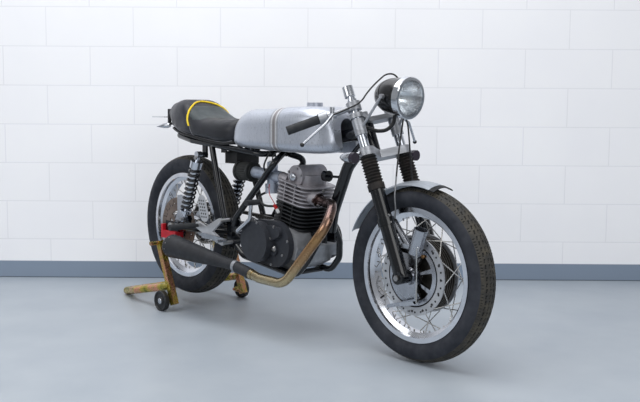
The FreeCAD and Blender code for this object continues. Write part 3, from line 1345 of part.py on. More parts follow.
def build_engine():
    points = [(S.case_start_x + x * S.case_length, S.case_base_z + z * S.case_height) for x, z in CASE_SHARES]
    corners = [Vector(x, -S.case_half_width, z) for x, z in points]
    corners.append(corners[0])
    case = Part.Face(Part.makePolygon(corners)).extrude(Vector(0, S.case_half_width * 2, 0))
    lean = Rotation(Vector(0, 1, 0), S.cylinder_lean)
    foot = Vector(S.cylinder_x, 0, S.cylinder_base_z)
    barrel = finned_block(S.cylinder_bore_block, S.fin_half_width, S.fin_round, S.cylinder_height, 7,
                          S.fin_thickness)
    cutter = Part.makeBox(S.case_length, S.case_half_width * 3, S.case_height,
                          Vector(-S.case_length / 2, -S.case_half_width * 1.5, 0))
    cutter.Placement = Placement(foot, lean)
    stub = fin_plate(S.cylinder_bore_block, S.fin_round * 0.6, S.case_height * 0.3, -S.case_height * 0.3)
    stub.Placement = Placement(foot, lean)
    case = fused([case, stub]).cut(cutter)
    side = S.case_half_width
    shelf_z = S.case_base_z + S.case_height * 0.27
    for sign in (-1, 1):
        near, far = sorted((sign * side * 0.69, sign * side * 1.2))
        case = case.cut(block(Vector(S.case_start_x - S.case_length, near, 0),
                              Vector(S.case_start_x + S.case_length * 2, far, shelf_z)))
    slot_low = Vector(S.case_start_x - S.case_length * 0.2, S.sprocket_plane - S.chain_width * 0.9,
                      S.drive_sprocket_z - S.drive_sprocket_radius * 1.7)
    slot_high = Vector(S.drive_sprocket_x + S.drive_sprocket_radius * 1.7,
                       S.sprocket_plane + S.chain_width * 0.9, S.drive_sprocket_z + S.drive_sprocket_radius * 1.7)
    case = case.cut(block(slot_low, slot_high))
    for cradle_tube in cradle_tubes(S.cradle_radius + S.seat_gap):
        case = case.cut(cradle_tube)
    sprocket_at = Vector(S.drive_sprocket_x, S.sprocket_plane - S.sprocket_width / 2, S.drive_sprocket_z)
    sprocket = Part.makeCylinder(S.drive_sprocket_radius, S.sprocket_width, sprocket_at, Vector(0, 1, 0))
    shaft = rod(Vector(sprocket_at.x, S.sprocket_plane - S.drive_sprocket_radius, sprocket_at.z),
                Vector(sprocket_at.x, S.sprocket_plane + S.sprocket_width, sprocket_at.z),
                S.drive_sprocket_radius * 0.3)
    made("engine_cases", fused([case, sprocket, shaft]))
    made("cylinder", barrel, foot, lean)

    head_foot = foot + lean.multVec(Vector(0, 0, S.cylinder_height + S.running_gap))
    head = finned_block(S.cylinder_bore_block, S.fin_half_width, S.fin_round, S.head_height, 6,
                        S.fin_thickness)
    rocker = fin_plate(S.rocker_half_width, S.rocker_half_width * 0.5, S.rocker_height * 0.55, S.head_height)
    drum = Part.makeCylinder(S.rocker_half_width * 0.72, S.rocker_half_width * 2.3,
                             Vector(0, -S.rocker_half_width * 1.15, S.head_height + S.rocker_height * 0.38),
                             Vector(0, 1, 0))
    cap = Part.makeCylinder(S.rocker_half_width * 0.3, S.rocker_half_width * 2.6,
                            Vector(-S.rocker_half_width * 0.2, -S.rocker_half_width * 1.3,
                                   S.head_height + S.rocker_height * 0.3), Vector(0, 1, 0))
    exhaust_port = Part.makeCylinder(S.port_radius, S.fin_half_width * 0.7,
                                     Vector(S.fin_half_width * 0.6, -S.port_offset, S.head_height * 0.5),
                                     Vector(1, 0, 0))
    intake_port = Part.makeCylinder(S.carb_radius, S.fin_half_width * 0.5,
                                    Vector(-S.fin_half_width * 1.05, -S.intake_offset, S.head_height * 0.95),
                                    Vector(1, 0, 0))
    head = fused([head, rocker, drum, cap, exhaust_port, intake_port])
    made("cylinder_head", head, head_foot, lean)

    face = -S.case_half_width - S.running_gap
    crank = Vector(S.crank_x, 0, S.crank_z)
    clutch = Vector(S.clutch_x, 0, S.clutch_z)
    right = fused([
        side_link(clutch, S.clutch_radius * 1.06, crank, S.crank_cover_radius, face, S.cover_thickness),
        rod(clutch + Vector(0, face, 0), clutch + Vector(0, face - S.cover_thickness - S.clutch_bulge, 0),
            S.clutch_radius),
        side_link(crank + Vector(-S.clutch_radius * 0.10, 0, S.clutch_radius * 0.55), S.clutch_radius * 0.38,
                  crank + Vector(S.clutch_radius * 0.42, 0, S.clutch_radius * 0.62), S.clutch_radius * 0.24,
                  face - S.cover_thickness + S.running_gap, S.cover_thickness * 0.7),
        rod(crank + Vector(S.clutch_radius * 0.06, face, -S.clutch_radius * 0.28),
            crank + Vector(S.clutch_radius * 0.06, face - S.cover_thickness * 1.35, -S.clutch_radius * 0.28),
            S.clutch_radius * 0.27),
    ])
    sprocket = Vector(S.drive_sprocket_x + S.clutch_radius, 0, S.drive_sprocket_z)
    left = side_link(sprocket, S.clutch_radius * 0.8, crank, S.crank_cover_radius * 0.94,
                     S.case_half_width + S.running_gap + S.cover_thickness * 1.3, S.cover_thickness * 1.3)
    made("engine_covers", Part.Compound([right, left]))

    carb_end = foot + lean.multVec(Vector(-S.fin_half_width * 1.05 - S.carb_radius * 0.11, -S.intake_offset,
                                          S.cylinder_height + S.head_height * 0.95))
    filter_end = Vector(S.filter_x + S.filter_length, -S.intake_offset, S.intake_z)
    throat = rod(Vector(filter_end.x + S.carb_radius * 0.08, filter_end.y, filter_end.z), carb_end,
                 S.carb_radius)
    body_at = filter_end + (carb_end - filter_end) * 0.66
    slide = rod(body_at - Vector(0, 0, S.carb_radius * 2.2), body_at + Vector(0, 0, S.carb_radius * 2.3),
                S.carb_radius * 0.92)
    bowl = rod(body_at - Vector(0, 0, S.carb_radius * 3), body_at - Vector(0, 0, S.carb_radius * 1.4),
               S.carb_radius * 1.25)
    made("carburettor", fused([throat, slide, bowl]).cut(placed("cylinder_head")))
    pleats = 30
    outline = []
    for number in range(pleats * 2):
        angle = math.pi * number / pleats
        reach = S.filter_radius - S.pleat_depth * (1 + number % 2)
        outline.append(Vector(reach * math.cos(angle), reach * math.sin(angle), S.filter_length * 0.1))
    outline.append(outline[0])
    cloth = Part.Face(Part.makePolygon(outline)).extrude(Vector(0, 0, S.filter_length * 0.72))
    rear_cap = Part.makeCylinder(S.filter_radius, S.filter_length * 0.12)
    front_cap = Part.makeCylinder(S.filter_radius, S.filter_length * 0.14,
                                  Vector(0, 0, S.filter_length * 0.80))
    neck = Part.makeCylinder(S.carb_radius * 1.3, S.filter_length * 0.1, Vector(0, 0, S.filter_length * 0.9))
    made("air_filter", fused([rear_cap, cloth, front_cap, neck]), (S.filter_x, -S.intake_offset, S.intake_z),
         Rotation(Vector(0, 1, 0), 90))


# Shares of the engine case's length, the frame's half width and the case's height
PIPE_CASE_SHARES = [(1.50, -0.64, 1.50), (1.60, -1.24, 1.08), (1.02, -1.73, -0.17)]


def build_exhaust():
    lean = Rotation(Vector(0, 1, 0), S.cylinder_lean)
    foot = Vector(S.cylinder_x, 0, S.cylinder_base_z)
    port = foot + lean.multVec(Vector(S.fin_half_width * 1.3 + S.seat_gap, -S.port_offset,
                                      S.cylinder_height + S.head_height * 0.5))
    after = port + lean.multVec(Vector(S.pipe_radius * 2, 0, 0))
    neck = Vector(S.muffler_start_x, -S.muffler_plane, S.muffler_start_z)
    tail = Vector(S.muffler_end_x, -S.muffler_plane, S.muffler_end_z)
    run = (neck - tail).normalize()
    joint = Vector(neck.x + S.pipe_radius * 6, neck.y, neck.z - S.pipe_radius * 1.1)
    collar_way = (joint - neck).normalize()
    corners = case_places(PIPE_CASE_SHARES)
    points = [port, after] + corners + [joint + collar_way * (S.pipe_radius * 3), joint]
    header = tube(points, S.pipe_radius, S.pipe_radius * 4.4)
    collar = rod(joint, joint + collar_way * S.pipe_radius, S.pipe_radius * 1.12)
    thick = S.flange_thickness
    flange = fused([link(Vector(0, -S.flange_reach, 0), thick * 1.4, Vector(0, S.flange_reach, 0),
                         thick * 1.4 + S.seat_gap,
                         thick), Part.makeCylinder(S.port_radius, thick)])
    flange.Placement = Placement(port, lean.multiply(Rotation(Vector(0, 1, 0), 90)))
    made("exhaust_header", fused([header, collar, flange]))
    cap = S.muffler_cap_length
    length = (neck - tail).Length + cap
    muffler = turned_body("muffler_blank", [
        (0, 0), (S.muffler_radius * 0.62, 0), (S.muffler_radius * 0.86, cap * 0.5), (S.muffler_radius, cap),
        (S.muffler_neck_radius, length * 0.9), (S.muffler_neck_radius, length), (0, length),
    ])
    doc.recompute()
    body = muffler.Shape.copy()
    body.Placement = Placement(tail - run * cap, Rotation(Vector(0, 0, 1), run)).multiply(body.Placement)
    sleeve = rod(neck - collar_way * S.pipe_radius, joint - collar_way * S.seat_gap,
                 S.muffler_neck_radius * 0.98)
    made("muffler", fused([body, sleeve]))


# Tank and seat

TANK_SHARES = [
    (0.000, 0.034, 0.80, 0.080, 0.745), (0.050, 0.082, 0.86, 0.062, 0.850), (0.267, 0.289, 0.95, 0.030,
                                                                             0.925),
    (0.534, 0.545, 1.00, 0.010, 0.965), (0.760, 0.755, 0.98, 0.000, 0.985), (0.890, 0.872, 0.88, 0.002,
                                                                             0.960),
    (0.960, 0.935, 0.72, 0.030, 0.890), (1.000, 0.968, 0.52, 0.125, 0.760),
]
SEAT_SHARES = [
    (0.995, 0.985, 0.74, 0.080, 0.560), (0.950, 0.950, 0.90, 0.020, 0.545), (0.860, 0.860, 0.98, 0.000,
                                                                             0.530),
    (0.740, 0.740, 1.00, 0.040, 0.525), (0.620, 0.620, 1.00, 0.090, 0.560), (0.520, 0.510, 0.99, 0.140,
                                                                             0.740),
    (0.430, 0.415, 0.95, 0.180, 0.950), (0.310, 0.310, 0.84, 0.250, 1.000), (0.190, 0.190, 0.60, 0.330,
                                                                             0.955),
    (0.085, 0.085, 0.28, 0.450, 0.875), (0.010, 0.006, 0.07, 0.620, 0.790),
]


def lofted(shares, rear_x, length, half_width, base_z, height, round_top, round_bottom, grow=0, lower=0):
    """A solid through rounded sections: x at the foot, x at the top, half width, foot and top."""
    sections = []
    for foot_x, top_x, width, low, high in shares:
        sections.append(oval_section(
            Vector(rear_x + foot_x * length, 0, base_z + low * height - lower),
            Vector(rear_x + top_x * length, 0, base_z + high * height),
            width * half_width + grow, round_top, round_bottom))
    return Part.makeLoft(sections, True, False)


def build_tank():
    tank = lofted(TANK_SHARES, tank_rear_x, S.tank_length, S.tank_half_width, tank_base_z, S.tank_height,
                  S.tank_height * 0.34, S.tank_height * 0.2)
    low = Vector(tank_rear_x - S.cut_overrun, -S.tunnel_half_width, tank_base_z - S.tank_height)
    tunnel = block(low, Vector(tank_rear_x + S.tank_length * 1.1, S.tunnel_half_width,
                               tunnel_top_z - S.tunnel_half_width))
    tunnel = tunnel.fuse(rod(Vector(low.x, 0, tunnel_top_z - S.tunnel_half_width),
                             Vector(low.x + S.tank_length * 1.1, 0, tunnel_top_z - S.tunnel_half_width),
                             S.tunnel_half_width))
    notch = rod(fork_place(S.lower_yoke_base, -S.fork_offset),
                fork_place(S.stem_top + S.yoke_height, -S.fork_offset),
                S.yoke_clamp_radius + S.moving_gap)
    tank = tank.cut(tunnel).cut(notch)
    for buffer in tank_buffers(S.seat_gap):
        tank = tank.cut(buffer)
    cap_at = Vector(tank_rear_x + S.tank_length * 0.66, 0, tank_base_z + S.tank_height * 0.94)
    cap = rod(cap_at, cap_at + Vector(0, 0, S.tank_height * 0.13), S.tunnel_half_width * 0.9)
    made("fuel_tank", fused([tank, cap]))


def build_battery():
    """The battery box under the seat, hung on a strap between the seat rails."""
    low_z = S.rail_height - S.rail_radius - S.battery_height
    box = block(Vector(S.battery_x, -S.battery_half_width, low_z),
                Vector(S.battery_x + S.battery_length, S.battery_half_width, low_z + S.battery_height * 0.9))
    strap = block(Vector(S.battery_x + S.battery_length * 0.2, -S.frame_half_width * 0.86,
                         low_z + S.battery_height * 0.8),
                  Vector(S.battery_x + S.battery_length * 0.6, S.frame_half_width * 0.86, S.rail_height))
    strap = strap.cut(block(Vector(S.battery_x - S.cut_overrun, -S.frame_half_width * 0.8,
                                   low_z + S.battery_height * 0.86),
                            Vector(S.battery_x + S.battery_length, S.frame_half_width * 0.8,
                                   S.rail_height * 2)))
    box = fused([box, strap]).cut(placed("seat_rails"))
    made("battery_box", box.cut(placed("frame_sides")))


def build_seat():
    rounds = (S.seat_height * 0.3, S.seat_height * 0.12)
    pad = lofted(SEAT_SHARES, seat_rear_x, S.seat_length, S.seat_half_width, seat_base_z, S.seat_height,
                 *rounds)
    pan_shares = []
    for foot_x, top_x, width, low, high in SEAT_SHARES[:-2]:
        pan_shares.append((foot_x, foot_x, width * 0.96, low - 0.052, low - 0.004))
    pan = lofted(pan_shares, seat_rear_x, S.seat_length, S.seat_half_width, seat_base_z, S.seat_height,
                 S.seat_pan_thickness * 0.3, S.seat_pan_thickness * 0.3)
    pan = pan.cut(placed("seat_rails"))
    made("seat_pan", pan)
    made("seat", pad.cut(pan))


# Foot controls and kick lever

def build_controls():
    plane = -S.rearset_plane
    thick = S.rearset_thickness
    peg = Vector(S.peg_x, 0, S.peg_z)
    heel = Vector(S.peg_x * 1.25, 0, S.peg_z - S.peg_radius * 1.6)
    upper = Vector(S.pivot_x - S.peg_radius * 1.6, 0, S.pivot_z + S.peg_radius * 4.6)
    lower = Vector(S.pivot_x - S.peg_radius * 0.2, 0, S.pivot_z - S.peg_radius * 2.6)
    rib = S.peg_radius
    parts = [
        side_link(heel, rib * 1.7, upper, rib * 0.8, plane + thick / 2, thick),
        side_link(heel, rib * 1.7, lower, rib * 0.8, plane + thick / 2, thick),
        side_link(heel, rib * 1.5, peg, rib * 1.2, plane + thick / 2, thick),
    ]
    spacer_from = -(S.pivot_half_width + S.pivot_plate_thickness + S.seat_gap * 2)
    for place in (upper, lower):
        parts.append(rod(Vector(place.x, spacer_from, place.z), Vector(place.x, plane, place.z), rib * 0.6))
    right = fused(parts)
    foot_peg = rod(Vector(peg.x, -S.peg_start, peg.z), Vector(peg.x, -S.peg_end, peg.z), S.peg_radius)
    pin = rod(Vector(peg.x, plane - thick / 2 - S.seat_gap, peg.z), Vector(peg.x, -S.peg_start, peg.z),
              S.peg_radius * 0.6)
    foot_peg = fused([foot_peg, pin])
    made("footpeg_plates", pair(right))
    made("footpegs", pair(foot_peg))
    pedal_plane = plane - thick / 2 - S.seat_gap
    pedal_tip = Vector(S.pivot_x + S.peg_radius * 2.4, 0, S.pivot_z - S.peg_radius * 1.4)
    pedal_root = Vector(heel.x - S.peg_radius * 1.2, 0, heel.z - S.peg_radius * 1.4)
    pedal = side_link(pedal_root, rib * 0.9, pedal_tip, rib * 0.5, pedal_plane, thick * 0.8)
    toe = rod(Vector(pedal_tip.x, pedal_plane, pedal_tip.z),
              Vector(pedal_tip.x, pedal_plane - S.peg_radius * 4, pedal_tip.z), rib * 0.5)
    made("pedals", pair(fused([pedal, toe])))

    start = Vector(S.clutch_x - S.clutch_radius * 1.22, -S.case_half_width - S.running_gap,
                   S.clutch_z + S.clutch_radius * 0.34)
    outward = -S.case_half_width - S.cover_thickness - S.clutch_bulge - S.peg_radius * 0.8
    kick = tube([start, Vector(start.x, outward, start.z),
                 Vector(S.clutch_x - S.clutch_radius * 0.10, outward, S.clutch_z + S.clutch_radius * 1.1),
                 Vector(S.clutch_x, outward, S.clutch_z + S.clutch_radius * 1.86)], S.peg_radius * 0.6,
                S.peg_radius * 1.5)
    knob = rod(Vector(S.clutch_x, outward - S.peg_radius * 2, S.clutch_z + S.clutch_radius * 1.92),
               Vector(S.clutch_x, outward + S.peg_radius * 3,
                      S.clutch_z + S.clutch_radius * 1.92), S.peg_radius * 0.9)
    made("kick_lever", fused([kick, knob]))


# Chain and caliper

def build_drive():
    centre_rear = Vector(0, 0, rear_axle_z)
    centre_front = Vector(S.drive_sprocket_x, 0, S.drive_sprocket_z)
    inner_rear = S.sprocket_radius + S.chain_gap
    inner_front = S.drive_sprocket_radius + S.chain_gap
    start = S.sprocket_plane + S.chain_width / 2
    outer = side_link(centre_rear, inner_rear + S.chain_height, centre_front, inner_front + S.chain_height,
                      start, S.chain_width)
    inner = side_link(centre_rear, inner_rear, centre_front, inner_front, start + S.chain_width,
                      S.chain_width * 3)
    made("chain", outer.cut(inner))
    plane = S.rear_disc_plane - S.rear_disc_width / 2
    half = S.rear_disc_width * 3.4
    low = Vector(S.rear_disc_radius * 0.12, -plane - half, rear_axle_z + S.rear_disc_radius * 0.58)
    high = Vector(S.rear_disc_radius * 0.62, -plane + S.rear_disc_width * 1.9,
                  rear_axle_z + S.rear_disc_radius * 1.1)
    caliper = block(low, high)
    slot = block(Vector(low.x - S.cut_overrun, -plane - S.rear_disc_width, rear_axle_z),
                 Vector(high.x + S.cut_overrun, -plane + S.rear_disc_width,
                        rear_axle_z + S.rear_disc_radius + S.cut_overrun))
    caliper = caliper.cut(slot)
    inner_face = S.swingarm_half_spacing - S.swingarm_radius - S.seat_gap
    axle_centre = Vector(0, 0, rear_axle_z)
    carrier_top = Vector((low.x + high.x) / 2, 0, low.z + S.rear_axle_radius)
    carrier = side_link(axle_centre, S.rear_axle_radius * 2, carrier_top, S.rear_axle_radius * 2.4,
                        -inner_face + S.caliper_carrier_thickness, S.caliper_carrier_thickness)
    carrier = carrier.cut(rod(Vector(0, -S.swingarm_half_spacing, rear_axle_z), axle_centre,
                              S.rear_axle_radius + S.running_gap))
    caliper = fused([caliper, carrier])
    made("rear_caliper", caliper)


# Tail fittings

def build_tail():
    """The tail plate, its lamp and two leaf-shaped indicators, on a stub from the seat pan."""
    root_x = seat_rear_x + S.seat_length * 0.24
    z = seat_base_z + S.seat_height * 0.40
    stub = rod(Vector(root_x, 0, z), Vector(seat_rear_x - S.cut_overrun, 0, z), S.indicator_stalk_radius)
    plate_z = seat_base_z + S.seat_height * 0.56
    plate_start = seat_rear_x - S.cut_overrun
    plate = block(Vector(plate_start - S.tail_plate_length, -S.seat_half_width * 0.3, plate_z),
                  Vector(plate_start, S.seat_half_width * 0.3, plate_z + S.tail_plate_thickness))
    post = block(Vector(plate_start - S.indicator_stalk_radius * 2, -S.indicator_stalk_radius, z),
                 Vector(plate_start, S.indicator_stalk_radius, plate_z + S.indicator_radius * 2))
    lamps = [stub, plate, post]
    for side in (-1, 1):
        end = Vector(seat_rear_x + S.seat_length * 0.045, side * S.seat_half_width * 0.42,
                     z - S.indicator_radius * 0.5)
        lamps.append(rod(Vector(plate_start - S.indicator_stalk_radius, 0, z), end,
                         S.indicator_stalk_radius * 0.7))
        leaf_radius = S.indicator_radius * 0.62
        leaf = smooth_turn([(0, -S.indicator_length * 0.55), (leaf_radius * 0.62, -S.indicator_length * 0.22),
                            (leaf_radius, S.indicator_length * 0.12), (leaf_radius * 0.8,
                                                                       S.indicator_length * 0.3)],
                           [(0, S.indicator_length * 0.3)])
        leaf.Placement = Placement(end, Rotation(Vector(0, 0, -1), Vector(-1, side * 0.5, -0.12)))
        lamps.append(leaf)
    made("tail_indicators", fused(lamps).cut(placed("seat_pan")).cut(placed("seat")))


# Cables

# Shares of the lamp's radius from the lamp's centre
BRAKE_CABLE_SHARES = [
    (-1.95, -1.38, -0.22), (-1.83, -1.00, 0.32), (-1.67, -0.63, 0.74), (-1.51, -0.13, 1.16), (-1.42, 0.34,
                                                                                              1.20),
    (-1.38, 0.80, 0.86), (-1.36, 1.06, 0.30), (-1.32, 1.04, -0.30), (-1.18, 0.84, -0.82), (-0.98, 0.54,
                                                                                           -1.22),
    (-0.84, 0.24, -1.93), (-0.58, -0.20, -2.86), (-0.29, -0.63, -3.78), (-0.06, -0.97, -4.59), (0.02, -0.96,
                                                                                                -5.16),
]
SPEEDOMETER_CABLE_SHARES = [
    (-0.71, 0.39, -0.80), (-0.58, 0.47, -1.21), (-0.58, 0.59, -1.95), (-0.61, 0.74, -2.91), (-0.55, 0.83,
                                                                                             -4.03),
    (-0.30, 0.83, -5.00), (0.05, 0.83, -6.20),
]


def cable(points, radius):
    """A tube with arcs as large as its runs allow."""
    return tube(points, radius, S.wheelbase)


def build_cables():
    """The front brake's cable, the speedometer's cable and the lamp's loom, each held at both ends."""
    reach = S.headlight_radius
    lamp = Vector(headlight_x, 0, S.headlight_z)

    def beside_lamp(rows):
        return [lamp + Vector(x * reach, y * reach, z * reach) for x, y, z in rows]

    out = bar_direction(-1)
    clamp = fork_place(S.clip_on_base + S.clip_on_height / 2, 0, -S.fork_half_spacing)
    perch_along = S.bar_length - S.grip_length - S.throttle_length - S.perch_length / 2
    pivot = clamp + out * perch_along + Vector(-out.y, out.x,
                                               0).normalize() * (S.perch_radius + S.lever_radius * 2)
    anchor = fork_place(S.slider_top * 0.55 + S.brake_arm_width * 1.5, S.slider_radius * 0.7,
                        S.slider_radius - S.fork_half_spacing)
    brake = cable([pivot, pivot - out * (S.perch_length * 0.9)] + beside_lamp(BRAKE_CABLE_SHARES) + [anchor],
                  S.cable_radius)
    for node in ("levers", "clip_ons", "brake_plate"):
        brake = largest(brake.cut(placed(node)))
    made("brake_cable", brake)
    drive_start = S.front_hub_left + S.front_left_flange_width * 2 + S.moving_gap
    drive_y = (drive_start + S.fork_half_spacing - S.slider_radius - S.cut_overrun) / 2
    drive_top = Vector(S.wheelbase, drive_y, front_axle_z + S.speedometer_drive_radius * 0.9)
    speed = beside_lamp(SPEEDOMETER_CABLE_SHARES) + [drive_top + Vector(0, 0, reach * 0.9), drive_top]
    speed = cable(speed, S.cable_radius)
    for node in ("headlight_shell", "front_axle"):
        speed = largest(speed.cut(placed(node)))
    made("speedometer_cable", speed)
    sleeve = fork_place(S.top_yoke_base - S.lamp_bracket_height * 0.6, 0, -S.fork_half_spacing)
    inner = S.fork_half_spacing - S.fork_tube_radius - S.lamp_bracket_thickness - S.seat_gap
    loom = [
        Vector(sleeve.x, -inner, sleeve.z),
        Vector(sleeve.x, S.loom_radius * 3 - inner, sleeve.z),
        Vector(sleeve.x + reach * 0.30, -inner * 0.46, sleeve.z - reach * 0.16),
        Vector(sleeve.x + reach * 0.72, -inner * 0.20, sleeve.z - reach * 0.12),
        Vector(sleeve.x + reach * 1.02, 0, sleeve.z + reach * 0.20),
        Vector(sleeve.x + reach * 1.10, 0, sleeve.z + reach * 0.80),
    ]
    loom = cable(loom, S.loom_radius).cut(placed("headlight_brackets"))
    made("lamp_loom", largest(largest(loom).cut(placed("headlight_shell"))))


# Paddock stand

def build_stand():
    half = S.stand_half_width
    bar = S.stand_bar_radius
    tail_x = S.stand_tail_x + bar
    pieces = [rod(Vector(tail_x, -S.stand_tail_half_width, bar),
                  Vector(tail_x, S.stand_tail_half_width, bar), bar)]
    for side in (-1, 1):
        top = Vector(S.stand_top_x, side * half, S.stand_top_z)
        foot = Vector(S.stand_foot_x, side * half, S.stand_foot_z)
        direction = (top - foot).normalize()
        post = Part.makeBox(S.stand_post_half * 2, S.stand_post_half * 2, (top - foot).Length + bar,
                            Vector(-S.stand_post_half, -S.stand_post_half, -S.stand_post_half))
        post.Placement = Placement(foot, Rotation(Vector(0, 0, 1), direction))
        pieces.append(post)
        elbow = foot + (top - foot) * 0.26
        pieces.append(tube([elbow, Vector(tail_x * 0.5, side * half, bar * 3),
                            Vector(tail_x, side * S.stand_tail_half_width, bar)], bar))
        lever = rod(foot, Vector(S.stand_wheel_x, side * half, S.stand_wheel_radius), S.stand_post_half)
        pieces.append(lever)
        axle = rod(Vector(S.stand_wheel_x, side * (half - bar), S.stand_wheel_radius),
                   Vector(S.stand_wheel_x, side * (S.stand_wheel_plane + S.stand_wheel_width),
                          S.stand_wheel_radius),
                   S.stand_axle_radius)
        pieces.append(axle)
        rod_from = Vector(top.x, side * S.swingarm_half_spacing * 0.8, top.z)
        pieces.append(rod(rod_from, Vector(top.x, side * (half + bar * 3), top.z), S.pad_rod_radius))
    made("stand_frame", fused(pieces))

    pads = []
    spacing = S.swingarm_half_spacing
    for side in (-1, 1):
        low = Vector(S.stand_top_x - S.pad_height, side * spacing - S.pad_height,
                     S.stand_top_z + S.pad_rod_radius + S.seat_gap)
        high = Vector(S.stand_top_x + S.pad_height, side * spacing + S.pad_height,
                      rear_axle_z - S.axle_plate_half_height - S.seat_gap)
        low.x = -S.axle_plate_half_height * 2.9
        lip = block(low, Vector(-S.axle_plate_half_height * 2.2 - S.seat_gap * 2, high.y,
                                rear_axle_z + S.axle_plate_half_height * 0.3))
        pads.append(fused([block(low, high), lip]))
    made("stand_pads", Part.Compound(pads))

    for side, node in ((-1, "stand_wheel_right"), (1, "stand_wheel_left")):
        bore = S.stand_axle_radius + S.running_gap
        radius = S.stand_wheel_radius
        width = S.stand_wheel_width
        wheel = turned_body(node, [
            (bore, -width / 2), (radius * 0.4, -width / 2), (radius * 0.46, -width * 0.3),
            (radius * 0.8, -width * 0.3), (radius * 0.86, -width / 2), (radius * 0.96, -width / 2),
            (radius, -width * 0.3), (radius, width * 0.3), (radius * 0.96, width / 2), (radius * 0.86,
                                                                                        width / 2),
            (radius * 0.8, width * 0.3), (radius * 0.46, width * 0.3), (radius * 0.4, width / 2), (bore,
                                                                                                   width / 2),
        ])
        keep(node, wheel, (S.stand_wheel_x, side * (S.stand_wheel_plane + width / 2), S.stand_wheel_radius),
             ALONG_LEFT)


build_wheels()
build_fork()
build_bars()
build_headlight()
build_front_brake()
build_mudguard()
build_engine()
build_frame()
build_swingarm()
build_shocks()
build_exhaust()
build_tank()
build_battery()
build_seat()
build_controls()
build_drive()
build_tail()
build_cables()
build_stand()
doc.recompute()

for item in doc.Objects:
    if "Invalid" in item.State or "Error" in item.State:
        raise RuntimeError("feature %s failed" % item.Name)
for node, item in finished.items():
    if item.Shape.isNull() or not item.Shape.isValid():
        raise RuntimeError("sub-part %s has no valid shape" % node)
    item.Shape.exportStep("parts/%s.step" % node)
    print("%-22s %2d solids %10.0f mm3" % (node, len(item.Shape.Solids), item.Shape.Volume))
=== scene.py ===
"""Looks of the cafe racer motorcycle on its paddock stand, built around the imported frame."""
import math

import bpy
import numpy as np
from mathutils import Matrix, Vector
from mathutils.bvhtree import BVHTree


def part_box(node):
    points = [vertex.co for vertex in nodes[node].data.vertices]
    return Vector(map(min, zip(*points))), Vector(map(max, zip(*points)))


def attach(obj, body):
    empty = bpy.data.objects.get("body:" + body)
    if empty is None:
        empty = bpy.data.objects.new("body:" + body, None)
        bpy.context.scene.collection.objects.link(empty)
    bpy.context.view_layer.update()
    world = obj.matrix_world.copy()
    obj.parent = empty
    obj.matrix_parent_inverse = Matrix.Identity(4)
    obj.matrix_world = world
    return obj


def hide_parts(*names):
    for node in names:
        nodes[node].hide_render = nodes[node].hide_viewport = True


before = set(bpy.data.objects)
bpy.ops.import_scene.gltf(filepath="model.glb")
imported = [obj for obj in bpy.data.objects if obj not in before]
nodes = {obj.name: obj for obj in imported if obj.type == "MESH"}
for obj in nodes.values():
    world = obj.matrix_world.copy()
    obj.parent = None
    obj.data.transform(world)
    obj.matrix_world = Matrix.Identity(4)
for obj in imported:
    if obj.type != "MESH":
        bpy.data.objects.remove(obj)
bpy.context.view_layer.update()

# Places are read off in millimetres with X from the rear axle, as the part's source draws them
REAR_AXLE_X = -0.677
MM = 0.001


def at(x, y, z):
    return Vector((REAR_AXLE_X + x * MM, y * MM, z * MM))


# Colours as the photograph shows them, 0 to 255

def rgb(red, green, blue):
    """A screen colour as the linear colour that a shader takes."""
    linear = []
    for value in (red, green, blue):
        share = value / 255
        linear.append(share / 12.92 if share <= 0.04045 else ((share + 0.055) / 1.055) ** 2.4)
    return (*linear, 1.0)


# Materials

